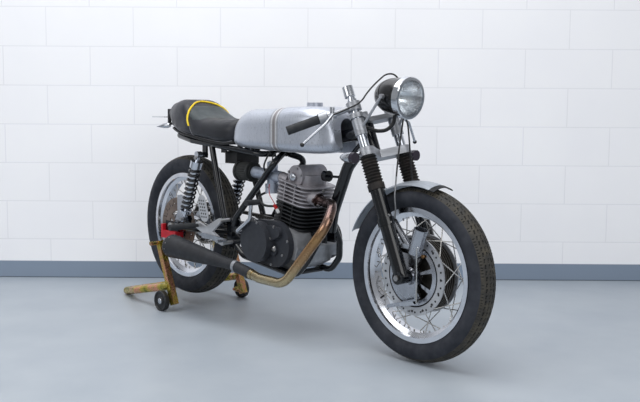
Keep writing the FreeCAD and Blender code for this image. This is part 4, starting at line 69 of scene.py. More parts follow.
class Surface:
    """A procedural material: a principled shader with its textures in the object's own space."""

    def __init__(self, name, colour, metallic=0.0, roughness=0.5, coat=0.0, specular=0.5):
        self.material = bpy.data.materials.new(name)
        self.material.use_nodes = True
        self.tree = self.material.node_tree
        self.shader = self.tree.nodes["Principled BSDF"]
        self.colour = colour
        values = {"Base Color": colour, "Metallic": metallic, "Roughness": roughness, "Coat Weight": coat,
                  "Coat Roughness": 0.06, "Specular IOR Level": specular}
        for key, value in values.items():
            self.shader.inputs[key].default_value = value
        self.place = self.tree.nodes.new("ShaderNodeTexCoord")
        self.bump_end = None

    def add(self, kind, **values):
        node = self.tree.nodes.new(kind)
        for key, value in values.items():
            if key in node.inputs:
                node.inputs[key].default_value = value
            else:
                setattr(node, key, value)
        return node

    def join(self, start, end):
        self.tree.links.new(start, end)

    def feed(self, source, target):
        """Join a socket to an input, or set the input to a plain value."""
        if hasattr(source, "links"):
            self.join(source, target)
        else:
            target.default_value = source

    def noise(self, scale, detail=4.0, stretch=(1, 1, 1)):
        mapping = self.add("ShaderNodeMapping", Scale=stretch)
        self.join(self.place.outputs["Object"], mapping.inputs["Vector"])
        noise = self.add("ShaderNodeTexNoise", Scale=scale, Detail=detail, Roughness=0.55)
        self.join(mapping.outputs["Vector"], noise.inputs["Vector"])
        return noise.outputs["Fac"]

    def ramp(self, source, stops, socket="Base Color"):
        """Colour by a source value, through (place, colour) stops."""
        ramp = self.add("ShaderNodeValToRGB")
        elements = ramp.color_ramp.elements
        while len(elements) < len(stops):
            elements.new(0.5)
        for element, (where, colour) in zip(elements, stops):
            element.position = where
            element.color = colour
        self.join(source, ramp.inputs["Fac"])
        if socket:
            self.join(ramp.outputs["Color"], self.shader.inputs[socket])
        return ramp.outputs["Color"]

    def mottle(self, shade, scale, low, high, **extra):
        """The base colour, drifting into a second one."""
        self.ramp(self.noise(scale, **extra), [(low, self.colour), (high, rgb(*shade))])

    def uneven(self, low, high, scale, **extra):
        """Roughness that wanders between two values."""
        wander = self.between(self.noise(scale, **extra), 0.3, 0.7, low, high)
        self.join(wander, self.shader.inputs["Roughness"])

    def bump(self, height, strength=0.3, distance=0.0005):
        node = self.add("ShaderNodeBump", Strength=strength, Distance=distance)
        self.join(height, node.inputs["Height"])
        if self.bump_end:
            self.join(self.bump_end, node.inputs["Normal"])
        self.join(node.outputs["Normal"], self.shader.inputs["Normal"])
        self.bump_end = node.outputs["Normal"]

    def axis(self, letter):
        """One coordinate of the object's space, in metres."""
        split = self.add("ShaderNodeSeparateXYZ")
        self.join(self.place.outputs["Object"], split.inputs["Vector"])
        return split.outputs[letter]

    def between(self, value, low, high, start=0.0, end=1.0):
        """A value brought to start at low and to end at high."""
        limits = {"From Min": low, "From Max": high, "To Min": start, "To Max": end}
        spread = self.add("ShaderNodeMapRange", **limits)
        self.join(value, spread.inputs["Value"])
        return spread.outputs["Result"]

    def sum_of(self, operation, *values):
        """The result of a math node whose inputs are sockets or numbers."""
        node = self.add("ShaderNodeMath", operation=operation)
        for value, target in zip(values, node.inputs):
            self.feed(value, target)
        return node.outputs[0]

    def blend(self, share, first, second, socket="Base Color"):
        mix = self.add("ShaderNodeMix", data_type="RGBA")
        for source, name in ((share, "Factor"), (first, "A"), (second, "B")):
            self.feed(source, [item for item in mix.inputs if item.name == name and item.enabled][0])
        result = [item for item in mix.outputs if item.enabled][0]
        if socket:
            self.join(result, self.shader.inputs[socket])
        return result


def rubber(name, colour, dust, dust_scale=14.0):
    surface = Surface(name, rgb(*colour), roughness=0.7, specular=0.35)
    surface.mottle(dust, dust_scale, 0.42, 0.8)
    surface.uneven(0.55, 0.82, 40)
    surface.bump(surface.noise(900), 0.25, 0.0002)
    return surface.material


def gloss_paint(name, colour):
    surface = Surface(name, rgb(*colour), roughness=0.22, coat=0.35, specular=0.4)
    surface.uneven(0.12, 0.26, 25)
    surface.bump(surface.noise(260), 0.04, 0.0003)
    return surface.material


def satin_paint(name, colour, wear, roughness=(0.42, 0.6), grain=700):
    surface = Surface(name, rgb(*colour), roughness=0.5)
    surface.mottle(wear, 18, 0.45, 0.85)
    surface.uneven(*roughness, 45)
    surface.bump(surface.noise(grain), 0.2, 0.0002)
    return surface.material


def cast_metal(name, colour, shade, roughness=(0.34, 0.52), grain=420, depth=0.25):
    surface = Surface(name, rgb(*colour), metallic=0.55, roughness=0.42)
    surface.mottle(shade, 22, 0.3, 0.75)
    surface.uneven(*roughness, 55)
    surface.bump(surface.noise(grain), depth, 0.00035)
    return surface.material


def polished_metal(name, colour, shade, roughness=(0.1, 0.22), stretch=(1, 1, 1)):
    surface = Surface(name, rgb(*colour), metallic=1.0, roughness=0.16)
    surface.mottle(shade, 12, 0.35, 0.8)
    surface.uneven(*roughness, 35, stretch=stretch)
    surface.bump(surface.noise(500, stretch=stretch), 0.035, 0.0002)
    return surface.material


def brushed_metal(name, colour, shade, stretch, roughness=(0.26, 0.42)):
    surface = Surface(name, rgb(*colour), metallic=0.72, roughness=0.33)
    surface.mottle(shade, 16, 0.3, 0.75, stretch=stretch)
    surface.uneven(*roughness, 60, stretch=stretch)
    surface.bump(surface.noise(240, stretch=stretch), 0.12, 0.0002)
    return surface.material


def zinc_plate(name):
    """Yellow passivated zinc, with its pink and green bloom."""
    surface = Surface(name, rgb(176, 150, 84), metallic=0.9, roughness=0.36)
    bloom = surface.noise(9, detail=3.0, stretch=(1.0, 2.2, 1.0))
    surface.ramp(bloom, [(0.30, rgb(134, 132, 52)), (0.44, rgb(186, 164, 70)), (0.56, rgb(214, 150, 122)),
                         (0.64, rgb(176, 158, 92)), (0.74, rgb(150, 150, 84))])
    surface.uneven(0.2, 0.34, 50)
    surface.bump(surface.noise(320), 0.08, 0.0002)
    return surface.material


def heat_tint(name):
    """Stainless steel that the exhaust has coloured, darkest at the port."""
    surface = Surface(name, rgb(170, 130, 90), metallic=1.0, roughness=0.26)
    height = surface.between(surface.axis("Z"), 0.20, 0.57)
    drift = surface.noise(16, detail=3.0)
    spread = surface.sum_of("MULTIPLY_ADD", drift, 0.22, height)
    surface.ramp(surface.sum_of("SUBTRACT", spread, 0.11), [
        (0.00, rgb(176, 166, 140)), (0.14, rgb(182, 166, 132)), (0.30, rgb(168, 138, 104)),
        (0.46, rgb(162, 128, 94)), (0.58, rgb(170, 134, 92)), (0.72, rgb(150, 118, 96)),
        (0.86, rgb(126, 106, 104)), (1.00, rgb(106, 92, 90))])
    surface.uneven(0.2, 0.36, 30)
    surface.bump(surface.noise(300), 0.05, 0.0002)
    return surface.material


def tank_metal(name):
    """Bare sheet steel, brushed round the tank, with the two weld bands ground bright across it."""
    surface = Surface(name, rgb(196, 200, 206), metallic=0.72, roughness=0.36)
    streak = surface.noise(14, detail=6.0, stretch=(26, 1.2, 2.2))
    cloud = surface.noise(5, detail=3.0)
    base = surface.ramp(cloud, [(0.3, rgb(182, 188, 202)), (0.7, rgb(200, 205, 215))], socket=None)
    grained = surface.ramp(streak, [(0.3, rgb(176, 181, 190)), (0.7, rgb(214, 216, 220))], socket=None)
    mixed = surface.blend(0.35, base, grained, socket=None)
    offset = surface.sum_of("SUBTRACT", surface.axis("X"), TANK_BAND_X)
    reach = surface.between(surface.sum_of("ABSOLUTE", offset), 0.0, 0.031)
    bands = [(0.0, rgb(140, 134, 134)), (0.22, rgb(150, 142, 138)), (0.34, rgb(226, 226, 228)),
             (0.56, rgb(214, 214, 217)), (0.68, rgb(142, 142, 147)), (0.95, rgb(178, 182, 190))]
    tint = surface.ramp(reach, bands, socket=None)
    share = surface.ramp(reach, [(0.0, (0.85,) * 3 + (1,)), (0.7, (0.8,) * 3 + (1,)), (1.0, (0, 0, 0, 1))],
                         socket=None)
    surface.blend(share, mixed, tint)
    surface.uneven(0.25, 0.4, 30, stretch=(20, 1, 2))
    surface.bump(surface.noise(160, stretch=(30, 1, 2)), 0.1, 0.0002)
    return surface.material


def leather(name, colour, sheen):
    surface = Surface(name, rgb(*colour), roughness=0.42, specular=0.45)
    surface.mottle(sheen, 9, 0.4, 0.8)
    surface.uneven(0.34, 0.52, 24)
    grain = surface.add("ShaderNodeTexVoronoi", Scale=700.0)
    surface.join(surface.place.outputs["Object"], grain.inputs["Vector"])
    surface.bump(grain.outputs["Distance"], 0.18, 0.0003)
    surface.bump(surface.noise(60), 0.12, 0.0006)
    return surface.material


def fluted_glass(name):
    surface = Surface(name, (0.96, 0.98, 0.98, 1.0), roughness=0.02)
    surface.shader.inputs["Transmission Weight"].default_value = 1.0
    surface.shader.inputs["IOR"].default_value = 1.45
    wave = surface.add("ShaderNodeTexWave", Scale=60.0, Distortion=0.0, bands_direction="Y")
    surface.join(surface.place.outputs["Object"], wave.inputs["Vector"])
    surface.bump(wave.outputs["Fac"], 0.22, 0.0012)
    return surface.material


TANK_BAND_X = REAR_AXLE_X + 0.755

TYRE = rubber("tyre rubber", (38, 41, 49), (60, 62, 69))
TREAD = rubber("tread rubber", (56, 55, 53), (88, 82, 70), 22)
# Darkest rubber, laid on the faces sunk in the tread grooves: painted shade in the grooves
GROOVE_SHADE = rubber("tread groove shade", (20, 20, 21), (32, 31, 29), 30)
RIM = polished_metal("polished rim", (228, 230, 236), (206, 208, 214))
SPOKE = polished_metal("spoke steel", (206, 205, 203), (168, 164, 158), (0.2, 0.34))
DRUM = cast_metal("drum iron", (98, 94, 88), (62, 58, 54), (0.42, 0.6))
FLANGE = brushed_metal("drum flange", (204, 205, 208), (176, 177, 180), (1, 1, 1))
PLATE = polished_metal("brake plate alloy", (184, 187, 194), (150, 152, 158), (0.16, 0.32))
SLIDER = gloss_paint("slider black", (8, 11, 15))
FRAME = gloss_paint("frame black", (9, 12, 18))
SHELL = gloss_paint("lamp shell black", (10, 11, 13))
CHROME = polished_metal("chrome", (226, 229, 234), (208, 211, 217), (0.04, 0.12))
STANCHION = polished_metal("stanchion chrome", (214, 218, 226), (188, 192, 200), (0.1, 0.2))
BILLET = brushed_metal("machined alloy", (178, 181, 187), (150, 152, 157), (1, 1, 6), (0.34, 0.5))
ALLOY = polished_metal("polished alloy", (200, 203, 209), (168, 171, 177), (0.18, 0.32))
CASE = cast_metal("case alloy", (180, 182, 186), (134, 136, 140))
HEAD = cast_metal("head alloy", (188, 185, 190), (146, 142, 146), (0.4, 0.58))
BARREL = satin_paint("barrel black", (22, 24, 28), (40, 42, 46))
COVER = satin_paint("cover charcoal", (40, 43, 50), (50, 53, 61), (0.5, 0.64), 1100)
CARB = cast_metal("carburettor zinc", (196, 204, 218), (156, 164, 180), (0.3, 0.46))
FILTER = satin_paint("filter cloth", (36, 38, 38), (56, 57, 55), (0.6, 0.8), 500)
HEADER = heat_tint("heat-tinted steel")
MUFFLER = satin_paint("muffler black", (31, 33, 38), (48, 49, 55), (0.48, 0.66), 900)
TANK = tank_metal("bare tank steel")
GUARD = brushed_metal("guard alloy", (184, 190, 198), (158, 164, 172), (1, 14, 1), (0.34, 0.5))
GUARD_TIP = rubber("guard rolled tip", (28, 30, 34), (44, 46, 50))
GAITER = rubber("gaiter rubber", (32, 29, 28), (54, 48, 44), 30)
COLLAR = rubber("gaiter collar", (18, 19, 21), (30, 30, 32), 30)
GRIP = rubber("grip rubber", (44, 46, 50), (56, 58, 60), 30)
BLACK = satin_paint("black plastic", (22, 22, 24), (34, 34, 36))
VINYL = leather("seat vinyl", (26, 28, 34), (42, 44, 52))
TAIL_VINYL = leather("tail vinyl", (32, 33, 41), (48, 49, 58))
# A lighter grey-green copy of the seat vinyl for the hump's upper forward-facing slope: painted sheen
SHEEN_FACE_VINYL = leather("hump face vinyl sheen", (48, 57, 60), (64, 73, 76))
PIPING = leather("yellow piping", (240, 204, 24), (250, 222, 60))
WELT = leather("pale welt", (128, 130, 136), (160, 160, 164))
DISC = cast_metal("disc iron", (132, 118, 108), (100, 86, 78), (0.35, 0.5), 300, 0.1)
CHAIN = cast_metal("chain steel", (92, 90, 88), (60, 57, 54), (0.35, 0.5))
ZINC = zinc_plate("yellow zinc")
BOLT_ZINC = cast_metal("bronze-toned nuts", (168, 128, 84), (120, 86, 54), (0.3, 0.45))
RED = satin_paint("red pad", (196, 22, 40), (166, 16, 32), (0.4, 0.55))
WHEEL_BLACK = satin_paint("stand wheel black", (26, 27, 30), (44, 44, 46), (0.4, 0.6))
LENS = fluted_glass("lamp lens")
REFLECTOR = polished_metal("lamp reflector", (244, 246, 250), (232, 235, 240), (0.2, 0.3))
BULB = gloss_paint("bulb glass", (214, 218, 224))
DARK_LENS = gloss_paint("dark lens", (46, 40, 52))
CABLE = satin_paint("cable black", (20, 20, 22), (30, 30, 32), (0.3, 0.45))
BRAID = brushed_metal("braided hose", (150, 152, 156), (96, 98, 102), (1, 1, 1), (0.34, 0.5))
SCREW = polished_metal("screw steel", (178, 178, 180), (132, 130, 128), (0.24, 0.42))
REARSET = brushed_metal("rearset alloy", (222, 223, 226), (196, 197, 200), (1, 1, 1), (0.3, 0.45))
WIRE_RED = satin_paint("red wire", (176, 24, 26), (140, 18, 20), (0.35, 0.5))
WHITE = satin_paint("white plastic", (216, 218, 220), (196, 196, 196), (0.4, 0.55))


def slotted(piece):
    """Hands a new piece back as it is."""
    return piece


def give(mesh, materials):
    """Make these the only materials of a mesh."""
    mesh.materials.clear()
    for material in materials:
        mesh.materials.append(material)


def dress(node, *materials, rule=None):
    """Give a carried-over node its materials. The rule picks the second one by the middle of a face."""
    mesh = nodes[node].data
    give(mesh, materials)
    for face in mesh.polygons:
        face.material_index = int(rule(face.center)) if rule else 0


# The nodes that take one finish all over
PLAIN = (
    (RIM, "front_rim rear_rim"), (SPOKE, "front_spokes rear_spokes front_axle rear_axle"),
    (ALLOY, "rear_hub gauge pedals rear_caliper"), (DISC, "rear_disc"), (CHAIN, "rear_sprocket chain"),
    (SLIDER, "fork_sliders"), (STANCHION, "fork_tubes shocks"), (GRIP, "grips footpegs"),
    (BILLET, "fork_yokes clip_ons headlight_brackets"), (CABLE, "speedometer_cable lamp_loom"),
    (CHROME, "headlight_ring"), (CASE, "engine_cases"), (COVER, "engine_covers"), (BARREL, "cylinder"),
    (HEAD, "cylinder_head"), (CARB, "carburettor"), (FILTER, "air_filter"), (HEADER, "exhaust_header"),
    (MUFFLER, "muffler"), (FRAME, "frame_spine frame_cradle frame_sides seat_rails swingarm"),
    (REARSET, "footpeg_plates"), (BLACK, "battery_box seat_pan"), (TANK, "fuel_tank"), (ZINC, "stand_frame"),
    (RED, "stand_pads"), (WHEEL_BLACK, "stand_wheel_right stand_wheel_left"),
)
for finish, plain_nodes in PLAIN:
    for plain_node in plain_nodes.split():
        dress(plain_node, finish)


# Meshes

def placed(name, data):
    """A new object in the scene."""
    item = bpy.data.objects.new(name, data)
    bpy.context.collection.objects.link(item)
    return item


def new_piece(name, points, faces, material, body, smooth=True):
    mesh = bpy.data.meshes.new(name)
    mesh.from_pydata([tuple(point) for point in points], [], faces)
    mesh.update()
    piece = placed(name, mesh)
    items = material if isinstance(material, (list, tuple)) else [material]
    give(mesh, items)
    slotted(piece)
    if smooth:
        mesh.shade_smooth()
    if body:
        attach(piece, body)
    return piece


def sides_of(axis):
    """Two directions square to an axis and to each other."""
    axis = Vector(axis).normalized()
    helper = Vector((0, 0, 1)) if abs(axis.z) < 0.9 else Vector((1, 0, 0))
    first = axis.cross(helper).normalized()
    return first, axis.cross(first).normalized()


def round_about(axis, steps):
    """Directions square to an axis, evenly round it."""
    first, second = sides_of(axis)
    angles = [2 * math.pi * step / steps for step in range(steps)]
    return [first * math.cos(angle) + second * math.sin(angle) for angle in angles]


def bands(start, count, levels):
    """Faces that join closed rings of points, each laid on the one before."""
    faces = []
    for low in range(start, start + levels * count, count):
        for step in range(count):
            after = (step + 1) % count
            faces.append((low + step, low + after, low + count + after, low + count + step))
    return faces


def turned(name, profile, centre, axis, material, body, steps=96):
    """A surface of revolution. The profile is (radius, place along the axis) in metres."""
    rays = round_about(axis, steps)
    axis = Vector(axis).normalized()
    faces = []
    count = len(profile)
    points = [centre + out * radius + axis * along for out in rays for radius, along in profile]
    for step in range(steps):
        following = (step + 1) % steps
        for number in range(count - 1):
            faces.append((step * count + number, step * count + number + 1,
                          following * count + number + 1, following * count + number))
    return new_piece(name, points, faces, material, body)


def cap_screws(name, places, radius, height, material, body, hexagon=False):
    """Heads with a socket, or hexagons, each as (foot, direction), as one mesh. Flat dark ones stand for
    holes, their darkness painted shade.
    """
    points, faces = [], []
    steps = 6 if hexagon else 14
    socket = radius * 0.52
    sections = [(radius, 0), (radius, height * 0.86), (radius * 0.9, height)]
    if hexagon:
        sections += [(0, height)]
    else:
        sections += [(socket, height), (socket * 0.96, height * 0.45), (0, height * 0.45)]
    for foot, way in places:
        rays = round_about(way, steps)
        way = Vector(way).normalized()
        faces += bands(len(points), steps, len(sections) - 1)
        for size, along in sections:
            points += [foot + out * size + way * along for out in rays]
    return new_piece(name, points, faces, material, body, smooth=False)


def bead(name, places, radius, material, body, kind="POLY"):
    """A round line along places that lie close together, or a smooth one led by them."""
    curve = bpy.data.curves.new(name, "CURVE")
    curve.dimensions = "3D"
    spline = curve.splines.new(kind)
    spline.points.add(len(places) - 1)
    for point, place in zip(spline.points, places):
        point.co = (*place, 1.0)
    if kind == "NURBS":
        spline.order_u = 3
        spline.use_endpoint_u = True
        spline.resolution_u = 10
    curve.bevel_depth = radius
    curve.bevel_resolution = 3
    curve.use_fill_caps = True
    piece = placed(name, curve)
    curve.materials.append(material)
    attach(piece, body)
    return slotted(piece)


def lead(name, route, radius, material, body):
    """A cable or wire on one smooth line through given control points."""
    return bead(name, route, radius, material, body, "NURBS")


def arc_through(first, middle, last, count):
    """Points on the circle through three points of a section."""
    (ax, ay), (bx, by), (cx, cy) = first, middle, last
    across = 2 * (ax * (by - cy) + bx * (cy - ay) + cx * (ay - by))
    aa, bb, cc = ax * ax + ay * ay, bx * bx + by * by, cx * cx + cy * cy
    ux = (aa * (by - cy) + bb * (cy - ay) + cc * (ay - by)) / across
    uy = (aa * (cx - bx) + bb * (ax - cx) + cc * (bx - ax)) / across
    radius = math.hypot(ax - ux, ay - uy)
    start = math.atan2(ay - uy, ax - ux)
    halfway = math.atan2(by - uy, bx - ux)
    end = math.atan2(cy - uy, cx - ux)
    turn = (end - start) % (2 * math.pi)
    if (halfway - start) % (2 * math.pi) > turn:
        turn -= 2 * math.pi
    angles = [start + turn * number / count for number in range(count + 1)]
    return [(ux + radius * math.cos(angle), uy + radius * math.sin(angle)) for angle in angles]


# Tyres

RIM_RADIUS = 0.242
RIM_INSIDE = 0.2085
BEAD_DROP = 0.0137
SHOULDER_DROP = 0.013
TYRE_STEPS = 720


def tyre(name, node, centre, half_width, rim_half, body, grooves, depth, pitch_count, zigzag):
    """A tyre with its ribs cut between zigzag grooves, a moulding line and a soft bead."""
    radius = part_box(node)[1][2] - centre.z
    shoulder = radius - SHOULDER_DROP
    shoulder_half = half_width * 0.76
    lip = RIM_RADIUS + 0.0012
    bead_half = rim_half - 0.0038
    side = arc_through((bead_half, lip), (half_width, (lip + shoulder) / 2), (shoulder_half, shoulder), 16)
    crown = arc_through((shoulder_half, shoulder), (0, radius), (-shoulder_half, shoulder), 56)
    left = [(-y, r) for y, r in reversed(side)]
    foot = RIM_RADIUS - BEAD_DROP
    section = np.array([(bead_half, foot)] + side + crown[1:-1] + left + [(-bead_half, foot)])
    angles = np.arange(TYRE_STEPS) * 2 * math.pi / TYRE_STEPS
    across = section[:, 0][None, :].repeat(TYRE_STEPS, 0)
    size = section[:, 1][None, :].repeat(TYRE_STEPS, 0)
    phase = (angles * pitch_count / (2 * math.pi)) % 1.0
    swing = (np.abs(phase - 0.5) * 4 - 1)[:, None] * zigzag
    cut = np.zeros_like(across)
    notch = (0.25 + 0.75 * (phase < 0.62))[:, None]
    for where, width in grooves:
        gap = np.abs(across - where - swing * (1 if where >= 0 else -1))
        cut = np.maximum(cut, np.clip((width - gap) / (width * 0.45), 0, 1) * notch)
    edge = np.abs(across)
    sipe = (np.abs(((phase * 2) % 1.0) - 0.5) < 0.10)[:, None]
    cut = np.maximum(cut, sipe * np.clip((edge - shoulder_half * 0.80) / 0.003, 0, 1) *
                     np.clip((shoulder_half * 1.06 - edge) / 0.003, 0, 1) * 0.8)
    cut *= size > shoulder - 0.012
    line = np.exp(-((size - (lip + 0.013)) / 0.0016) ** 2) * 0.0007
    size = size - cut * depth + line
    x = centre.x + size * np.cos(angles)[:, None]
    z = centre.z + size * np.sin(angles)[:, None]
    y = centre.y + across
    points = np.stack([x, y, z], -1).reshape(-1, 3)
    count = section.shape[0]
    step_index = np.arange(TYRE_STEPS)[:, None]
    place = np.arange(count - 1)[None, :]
    following = (step_index + 1) % TYRE_STEPS
    faces = np.stack([step_index * count + place, following * count + place, following * count + place + 1,
                      step_index * count + place + 1], -1).reshape(-1, 4)
    piece = new_piece(name, points.tolist(), faces.tolist(), [TYRE, TREAD, GROOVE_SHADE], body)
    middle = section[:-1, 1] * 0.5 + section[1:, 1] * 0.5
    on_tread = np.tile((middle > shoulder - 0.002).astype(int), (TYRE_STEPS, 1))
    # Faces sunk in the grooves take the darkest rubber: painted shade in the grooves
    groove_shade = (cut[:, :-1] + cut[:, 1:]) * 0.5 > 0.4
    on_tread[groove_shade] = 2
    piece.data.polygons.foreach_set("material_index", on_tread.reshape(-1))
    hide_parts(node)
    return piece


def axle_of(node):
    low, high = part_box(node)
    return Vector(((low[0] + high[0]) / 2, 0, (low[2] + high[2]) / 2))


FRONT = axle_of("front_tyre")
REAR = axle_of("rear_tyre")


def build_wheels():
    tyre("front_tyre_tread", "front_tyre", FRONT, 0.050, 0.038, "front_wheel",
         [(-0.0225, 0.0034), (-0.0075, 0.0030), (0.0075, 0.0030), (0.0225, 0.0034)], 0.0048, 96, 0.0014)
    tyre("rear_tyre_tread", "rear_tyre", REAR, 0.060, 0.043, "rear_wheel",
         [(-0.033, 0.0028), (-0.0165, 0.0030), (0.0, 0.0024), (0.0165, 0.0030), (0.033, 0.0028)],
         0.005, 72, 0.0010)
    dress("front_hub", DRUM, FLANGE,
          rule=lambda middle: middle.y < -0.033 or middle.y > 0.03)
    for body, centre in (("front_wheel", FRONT), ("rear_wheel", REAR)):
        places = []
        for number in range(18):
            for side, turn in ((-1, 0.25), (1, 0.75)):
                angle = 2 * math.pi * (number + turn) / 18
                out = Vector((math.cos(angle), 0, math.sin(angle)))
                places.append((centre + out * (RIM_INSIDE + 0.001) + Vector((0, side * 0.005, 0)), -out))
        cap_screws(body + "_nipples", places, 0.0027, 0.007, SPOKE, body, hexagon=True)


# Pieces laid on the carried-over nodes

def smooth_line(points, parts=8):
    """Places on a smooth line that runs through given points."""
    points = [Vector(point) for point in points]
    line = []
    for number in range(len(points) - 1):
        start, end = points[number], points[number + 1]
        before = points[max(number - 1, 0)]
        after = points[min(number + 2, len(points) - 1)]
        for part in range(parts):
            t = part / parts
            line.append(0.5 * (2 * start + (end - before) * t
                               + (2 * before - 5 * start + 4 * end - after) * t * t
                               + (3 * start - before - 3 * end + after) * t ** 3))
    line.append(points[-1])
    return line


def skin_of_mesh(mesh):
    return BVHTree.FromPolygons([vertex.co for vertex in mesh.vertices],
                                [face.vertices[:] for face in mesh.polygons])


def skin_of(node):
    return skin_of_mesh(nodes[node].data)


def on_right(skin, spots):
    """Where (x, z) spots in millimetres lie on a skin as seen from the right, each with the way it faces."""
    hits = [skin.ray_cast(at(x, -300, z), LEFT)[0] for x, z in spots]
    return [(hit, RIGHT) for hit in hits if hit]


def rounded(start, end, along, across, radius, steps):
    """The outline of a flat bar whose two ends are half rounds."""
    outline = []
    for centre, turn in ((end, -90), (start, 90)):
        for step in range(steps + 1):
            angle = math.radians(turn + step * 180 / steps)
            outline.append(centre + (along * math.cos(angle) + across * math.sin(angle)) * radius)
    return outline


def strap(name, start, end, width, thick, facing, material, body):
    """A flat bar with round ends between two places, its edges eased."""
    along = (end - start).normalized()
    facing = Vector(facing).normalized()
    across = along.cross(facing).normalized()
    facing = across.cross(along).normalized()
    outline = rounded(start, end, along, across, width / 2, 8)
    middle = (start + end) / 2
    rings = []
    for lift, ease in ((-0.5, 0.94), (-0.38, 1.0), (0.38, 1.0), (0.5, 0.94)):
        rings.append([middle + (place - middle) * ease + facing * (lift * thick) for place in outline])
    count = len(outline)
    points = [place for ring in rings for place in ring]
    faces = [tuple(range(count - 1, -1, -1)), tuple(range(3 * count, 4 * count))] + bands(0, count, 3)
    return new_piece(name, points, faces, material, body, smooth=False)


def girdle(name, node, centre, axis, half, lift, material, body, steps=64):
    """A band round a carried-over body, laid on its skin."""
    skin = skin_of(node)
    rays = round_about(axis, steps)
    axis = Vector(axis).normalized()
    points, faces = [], []
    for out in rays:
        for along, rise in ((-half, -0.0005), (-half, lift), (half, lift), (half, -0.0005)):
            start = centre + axis * along + out * 0.2
            hit = skin.ray_cast(start, -out)[0]
            points.append((hit if hit else centre + axis * along + out * 0.04) + out * rise)
    for step in range(steps):
        after = (step + 1) % steps
        for number in range(3):
            low, high = step * 4 + number, after * 4 + number
            faces.append((low, low + 1, high + 1, high))
    return new_piece(name, points, faces, material, body, smooth=False)


RIGHT = Vector((0, -1, 0))
LEFT = Vector((0, 1, 0))


def ring_of(centre, radius, count, facing, start=0.0):
    """Places round a centre in the plane of the wheels, each with the way it faces."""
    places = []
    for number in range(count):
        angle = start + 2 * math.pi * number / count
        places.append((centre + Vector((math.cos(angle), 0, math.sin(angle))) * radius, facing))
    return places


# Fork, bars and lamp

LAMP_AT = at(1344, 0, 942)
LAMP_AXIS = Vector((0.9945, 0, -0.1045))


def build_lamp():
    outer = smooth_line([(0, -0.155, 0), (0.0385, -0.144, 0), (0.0616, -0.105, 0), (0.070, -0.0465, 0),
                         (0.070, -0.0264, 0)], 8)
    bowl = [(0.0625 * (1 - step / 24), -0.082 + 0.0556 * (1 - step / 24) ** 2) for step in range(25)]
    profile = [(max(point.x, 0), point.y) for point in outer] + bowl
    shell = turned("headlight_bowl", profile, LAMP_AT, LAMP_AXIS, [SHELL, REFLECTOR], "steering")
    inside = len(outer)
    count = len(profile)
    for number, face in enumerate(shell.data.polygons):
        face.material_index = 1 if number % (count - 1) >= inside else 0
    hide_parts("headlight_shell")
    bulb = [(0, -0.040), (0.004, -0.041), (0.007, -0.045), (0.008, -0.052), (0.0075, -0.060), (0.006, -0.066),
            (0.009, -0.067), (0.011, -0.070), (0.011, -0.080)]
    turned("headlight_bulb", bulb, LAMP_AT, LAMP_AXIS, BULB, "steering", steps=32)
    dome = [(0.0636 * step / 20, 0.012 * (1 - (step / 20) ** 2) - 0.001) for step in range(21)]
    back = [(radius, along - 0.0035) for radius, along in reversed(dome)]
    lens = turned("headlight_glass", dome + back, LAMP_AT, LAMP_AXIS, LENS, "steering")
    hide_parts("headlight_lens")


def build_front():
    dress("fork_gaiters", GAITER, COLLAR,
          rule=lambda middle: middle.z < 0.626 or middle.z > 0.729)
    dress("levers", ALLOY, BLACK, rule=lambda middle: abs(middle.y) > 0.292)
    dress("front_indicators", ALLOY, DARK_LENS,
          rule=lambda middle: middle.x > REAR_AXLE_X + 1.217)
    dress("brake_plate", PLATE, SLIDER,
          rule=lambda middle: middle.z > 0.478 and middle.x < REAR_AXLE_X + 1.375)
    dress("front_mudguard", GUARD, GUARD_TIP,
          rule=lambda middle: middle.x > REAR_AXLE_X + 1.480)
    dress("brake_cable", CABLE, BRAID, rule=lambda middle: middle.z < 0.66)
    build_lamp()
    hub = FRONT + Vector((0, -0.0402, 0))
    # Flat dark discs stand for the flange's holes: painted shade
    cap_screws("front_flange_hole_shade", ring_of(hub, 0.131, 30, RIGHT), 0.0036, 0.0006, BLACK, "front_wheel")
    nuts = [(at(*place), RIGHT) for place in ((1463, -84, 424), (1454, -46, 393), (1445, -62, 230))]
    cap_screws("front_plate_nuts", nuts, 0.0064, 0.006, BOLT_ZINC, "steering", hexagon=True)
    for name, start, end in (("front_brake_arm", at(1392, -88, 430), at(1463, -88, 424)),
                             ("front_brake_lower_arm", at(1372, -66, 214), at(1446, -66, 230))):
        strap(name, start, end, 0.015, 0.005, RIGHT, ALLOY, "steering")
    lead("front_brake_rod", [at(1462, -92, 424), at(1455, -82, 330), at(1446, -71, 230)], 0.0026, SPOKE,
         "steering")
    cap_screws("slider_clamp_bolts", [(at(1341, -101, 532), RIGHT), (at(1349, -100, 508), RIGHT)],
               0.0055, 0.006, SCREW, "steering")
    cap_screws("front_axle_end", [(at(1400, -127, 318), RIGHT)], 0.011, 0.004, SCREW, "steering",
               hexagon=True)
    valve = FRONT + Vector((math.cos(-2.6), 0, math.sin(-2.6))) * 0.215
    way = Vector((-math.cos(-2.6), 0, -math.sin(-2.6)))
    lead("front_valve", [valve, valve + way * 0.014, valve + way * 0.030], 0.003, BLACK, "front_wheel")
    places = []
    for side in (-1, 1):
        for height in (712, 736):
            places.append((at(1218 - (height - 705) * 0.46, side * 92, height),
                           Vector((0.42, side * 0.4, 0.1))))
    cap_screws("lower_yoke_screws", places, 0.0045, 0.005, SCREW, "steering")


# Engine and frame

RIVETS = 12
COIL_TURNS = 9.0
COIL_STEPS = 360
COIL_RADIUS = 0.0243


